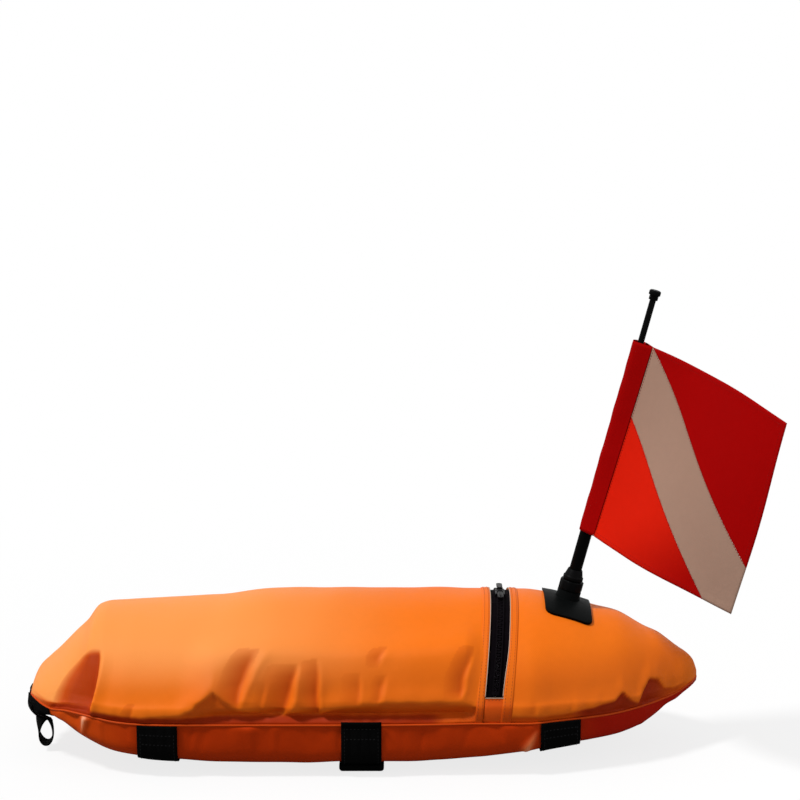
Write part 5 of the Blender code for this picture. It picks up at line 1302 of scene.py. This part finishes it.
# %% The sleeve on the pole
SLEEVE_ROWS, RING_COUNT = 61, 40
RING_START, RING_TURN, RING_EASE = math.radians(38), math.radians(284), 0.16
sleeve_places = np.zeros((SLEEVE_ROWS, RING_COUNT + 1, 3))
for row in range(SLEEVE_ROWS):
    drop = FLAG_HOIST * row / (SLEEVE_ROWS - 1)
    turn = fly_turn(0.0, drop / FLAG_HOIST)
    heading = pole_ahead * math.cos(turn) - pole_side * math.sin(turn)
    beside = pole_ahead * math.sin(turn) + pole_side * math.cos(turn)
    middle = POLE_FOOT + pole_along * (FLAG_LIFT + FLAG_HOIST - drop)
    tip = flag_place(SLEEVE_SEAM - SLEEVE_GAP, drop) - middle
    radius = SLEEVE_BORE + 0.0006 + 0.0002 * math.sin(drop * 90)
    radius += 0.00015 * math.sin(drop * 210 + 1)
    for k in range(RING_COUNT + 1):
        share = k / RING_COUNT
        angle = RING_START + RING_TURN * share
        ease = min(share, 1 - share) / RING_EASE
        spot = (heading * math.cos(angle) + beside * math.sin(angle)) * radius
        if ease < 1:
            skin = beside * (0.0006 if share < 0.5 else -0.0006)
            spot = (tip + skin).lerp(spot, ease * ease * (3 - 2 * ease))
        sleeve_places[row, k] = middle + spot
sleeve = lay_cloth(lay_grid("flag_sleeve_cloth", sleeve_places),
                   lambda spot: POLE_FOOT + pole_along * (spot - POLE_FOOT).dot(pole_along),
                   "flag_dark", "flag", ("flag_sleeve",), FLAG_WALL, 1.0)

# %% The three pieces of the flag
flag_panel("flag_fly_cloth", [cut_line(upper_edge, -1)], "flag_red",
           "flag_panel_fly")
flag_panel("flag_stripe_cloth", [cut_line(upper_edge, 1), cut_line(lower_edge, -1)],
           "flag_white", "flag_stripe")
flag_panel("flag_hoist_cloth", [cut_line(lower_edge, 1)], "flag_bright",
           "flag_panel_hoist")


def flag_line(start, end, lift, count=40):
    """Places and normals of a sewn line on the flag."""
    line = []
    for step in range(count + 1):
        along = start[0] + (end[0] - start[0]) * step / count
        drop = start[1] + (end[1] - start[1]) * step / count
        here, above = flag_place(along, drop, lift), flag_place(along, drop, lift * 2)
        line.append((here, (above - here).normalized()))
    return line


THIN_STITCH = (0.0026, 0.0012, 0.00028)
hem_line = HEM_WIDTH - 0.0015
beside_sleeve, fly_hem, low_hem = SLEEVE_SEAM + 0.002, FLAG_FLY - hem_line, FLAG_HOIST - hem_line
red_lines, seam_lines = [], []
for lift in (0.0006, -0.0006):
    for start, end in (((beside_sleeve, 0.001), (beside_sleeve, FLAG_HOIST - 0.001)),
                       ((SLEEVE_SEAM + 0.02, hem_line), (FLAG_FLY - 0.002, hem_line)),
                       ((fly_hem, 0.002), (fly_hem, FLAG_HOIST * STRIPE_TOP - 0.01)),
                       ((SLEEVE_SEAM, low_hem), (stripe_end - 0.008, low_hem))):
        red_lines.append(flag_line(start, end, lift))
    for (ax, ay, az), (bx, by, bz) in (upper_edge, lower_edge):
        seam_lines.append(flag_line((ax + 0.001, ay + 0.002), (bx - 0.002, by - 0.001), lift))
sew("flag_red_stitching", red_lines, "thread_red", "flag", "flag_red", *THIN_STITCH)
sew("flag_seam_stitching", seam_lines, "thread_red", "flag", "flag_red", *THIN_STITCH)

# %% [markdown]
# ## Tow loop
# A piece of webbing is sewn along the stern seam, narrows, and hangs in a loop that turns edge on.
# One closed ribbon is spun through a row of frames, each with its own width and turn.


# %% Fold the tow loop
def seam_spot(y, out):
    """A place on the stern seam at a distance y from the middle line, moved outwards."""
    low_x, high_x = -HALF_LENGTH, -HALF_LENGTH * 0.8
    for repeat in range(40):
        middle = (low_x + high_x) / 2
        if float(half_width(middle)) < abs(y):
            low_x = middle
        else:
            high_x = middle
    step = HALF_LENGTH / 200
    widens = math.copysign(float(half_width(high_x + step) - half_width(high_x)), y)
    run = Vector((step, widens, 0)).normalized()
    foot = Vector((float(drawn_in(high_x)), y, 0.0))
    return foot + Vector((-abs(run.y), math.copysign(abs(run.x), y), 0.0)) * out


def stern_axis(spot):
    return Vector((0.0, 0.0, spot.z))


TAB_START, TAB_END, TAB_DROP, TAB_LOW_WIDTH, TAB_CLEAR = 0.010, 0.064, 0.024, 0.038, 0.0026
TAB_ROWS, TAB_COLUMNS = 17, 25
LOOP_WALL, LOOP_WEB, LOOP_HALF, LOOP_TALL = 0.0022, 0.025, 0.0088, 0.0365
LOOP_SHIFT, LOOP_LEAN, LOOP_STEPS, LOOP_COLUMNS = 0.0165, 0.0030, 64, 11
tab_start, tab_end = seam_spot(-TAB_START, TAB_CLEAR), seam_spot(-TAB_END, TAB_CLEAR)
tab_run = (tab_end - tab_start).normalized()
tab_out = Vector((tab_run.y, -tab_run.x, 0.0))
low_run = Vector((0.68, -0.73, 0.0)).normalized()
tab_middle = (tab_start + tab_end) / 2 + Vector((LOOP_SHIFT, 0, 0))
tab_places = np.zeros((TAB_ROWS, TAB_COLUMNS, 3))
for row in range(TAB_ROWS):
    part = row / (TAB_ROWS - 1)
    for column in range(TAB_COLUMNS):
        share = column / (TAB_COLUMNS - 1)
        upper = seam_spot(-(TAB_START + (TAB_END - TAB_START) * share), TAB_CLEAR)
        lower = tab_middle + low_run * TAB_LOW_WIDTH * (share - 0.5)
        place = upper.lerp(lower, part ** 2.6) + tab_out * LOOP_WALL / 2
        tab_places[row, column] = (place.x, place.y, SEAM_HEIGHT - TAB_DROP * part)
lay_cloth(lay_grid("tow_tab", tab_places), stern_axis, "loop_web", "tow_loop",
          ("tow_loop",), LOOP_WALL, 0.0)

loop_centre = tab_middle + tab_out * LOOP_WALL / 2 + Vector((LOOP_LEAN, 0, 0))
loop_centre.z = SEAM_HEIGHT - TAB_DROP + LOOP_WALL - LOOP_TALL / 2
ribbon = np.zeros((LOOP_STEPS + 1, LOOP_COLUMNS, 3))
for step in range(LOOP_STEPS + 1):
    angle = math.tau * step / LOOP_STEPS
    rise, narrow = math.cos(angle), 1 - 0.16 * math.cos(angle)
    spot = Vector((LOOP_HALF * math.sin(angle) * narrow, 0.0, LOOP_TALL / 2 * rise))
    spot.x -= LOOP_LEAN * (1 + rise) / 2
    wide = low_run.lerp(Vector((0.0, -1.0, 0.0)), ((1 - rise) / 2) ** 0.5).normalized()
    half_web = LOOP_WEB / 2 * (1 + 0.10 * rise)
    for column in range(LOOP_COLUMNS):
        share = column / (LOOP_COLUMNS // 2) - 1
        ribbon[step, column] = loop_centre + spot + wide * half_web * share
ribbon_mesh = lay_grid("tow_ribbon", ribbon)
weld = bmesh.new()
weld.from_mesh(ribbon_mesh)
bmesh.ops.remove_doubles(weld, verts=weld.verts, dist=MERGE_GAP)
bmesh.ops.recalc_face_normals(weld, faces=weld.faces)
weld.to_mesh(ribbon_mesh)
weld.free()
tow_ribbon = show(ribbon_mesh, "tow_ribbon", "loop_web", "tow_loop", (), 60)
give_wall(tow_ribbon, LOOP_WALL * 0.9, 0.0)
print("tow loop hangs to z", round(loop_centre.z - LOOP_TALL / 2, 3))

# %% Sew the webbing's upper part to the float
# It is a low band under the seam that wraps round the tip, and its far end lies on the hull.
BAND_START, BAND_END, BAND_CLEAR, BAND_WALL = 0.010, -0.094, 0.0012, 0.0012
BAND_ROWS, BAND_COLUMNS = 9, 61
hull_skin = BVHTree.FromPolygons([corner.co for corner in hull_mesh.vertices],
                                 [tuple(face.vertices) for face in hull_mesh.polygons])
band_places = np.zeros((BAND_ROWS, BAND_COLUMNS, 3))
for column in range(BAND_COLUMNS):
    y = BAND_START + (BAND_END - BAND_START) * column / (BAND_COLUMNS - 1)
    y = y if abs(y) > 1e-4 else 1e-4
    tall = 0.0125 + 0.0035 * float(smooth_rise(-y, 0.020, 0.070))
    lies = float(smooth_rise(-y, 0.074, 0.092))
    foot = seam_spot(y, BAND_CLEAR + BAND_WALL / 2)
    out = seam_spot(y, 1.0) - seam_spot(y, 0.0)
    for row in range(BAND_ROWS):
        level = float(seam_line(foot.x)) - 0.0002 - tall * row / (BAND_ROWS - 1)
        spot = Vector((foot.x, foot.y, level))
        struck = hull_skin.ray_cast(spot, -out, 0.03)[0]
        gap = (spot - struck).length if struck else 0.0
        band_places[row, column] = spot - out * lies * max(0.0, gap - 1.3 * BAND_CLEAR)
lay_cloth(lay_grid("tow_band", band_places), stern_axis, "loop_web", "float", (),
          BAND_WALL, 0.0)
tab_lines = [[(tab_places[row, k] + np.array(tab_out) * (LOOP_WALL / 2 + 0.0001), tab_out)
              for k in range(1, TAB_COLUMNS - 1)] for row in (2, 4)]
sew("tow_stitching", tab_lines, "thread_black", "tow_loop", "webbing")
print("tow band is", round(float(distances(band_places, 1)[0, -1]), 3), "m long")
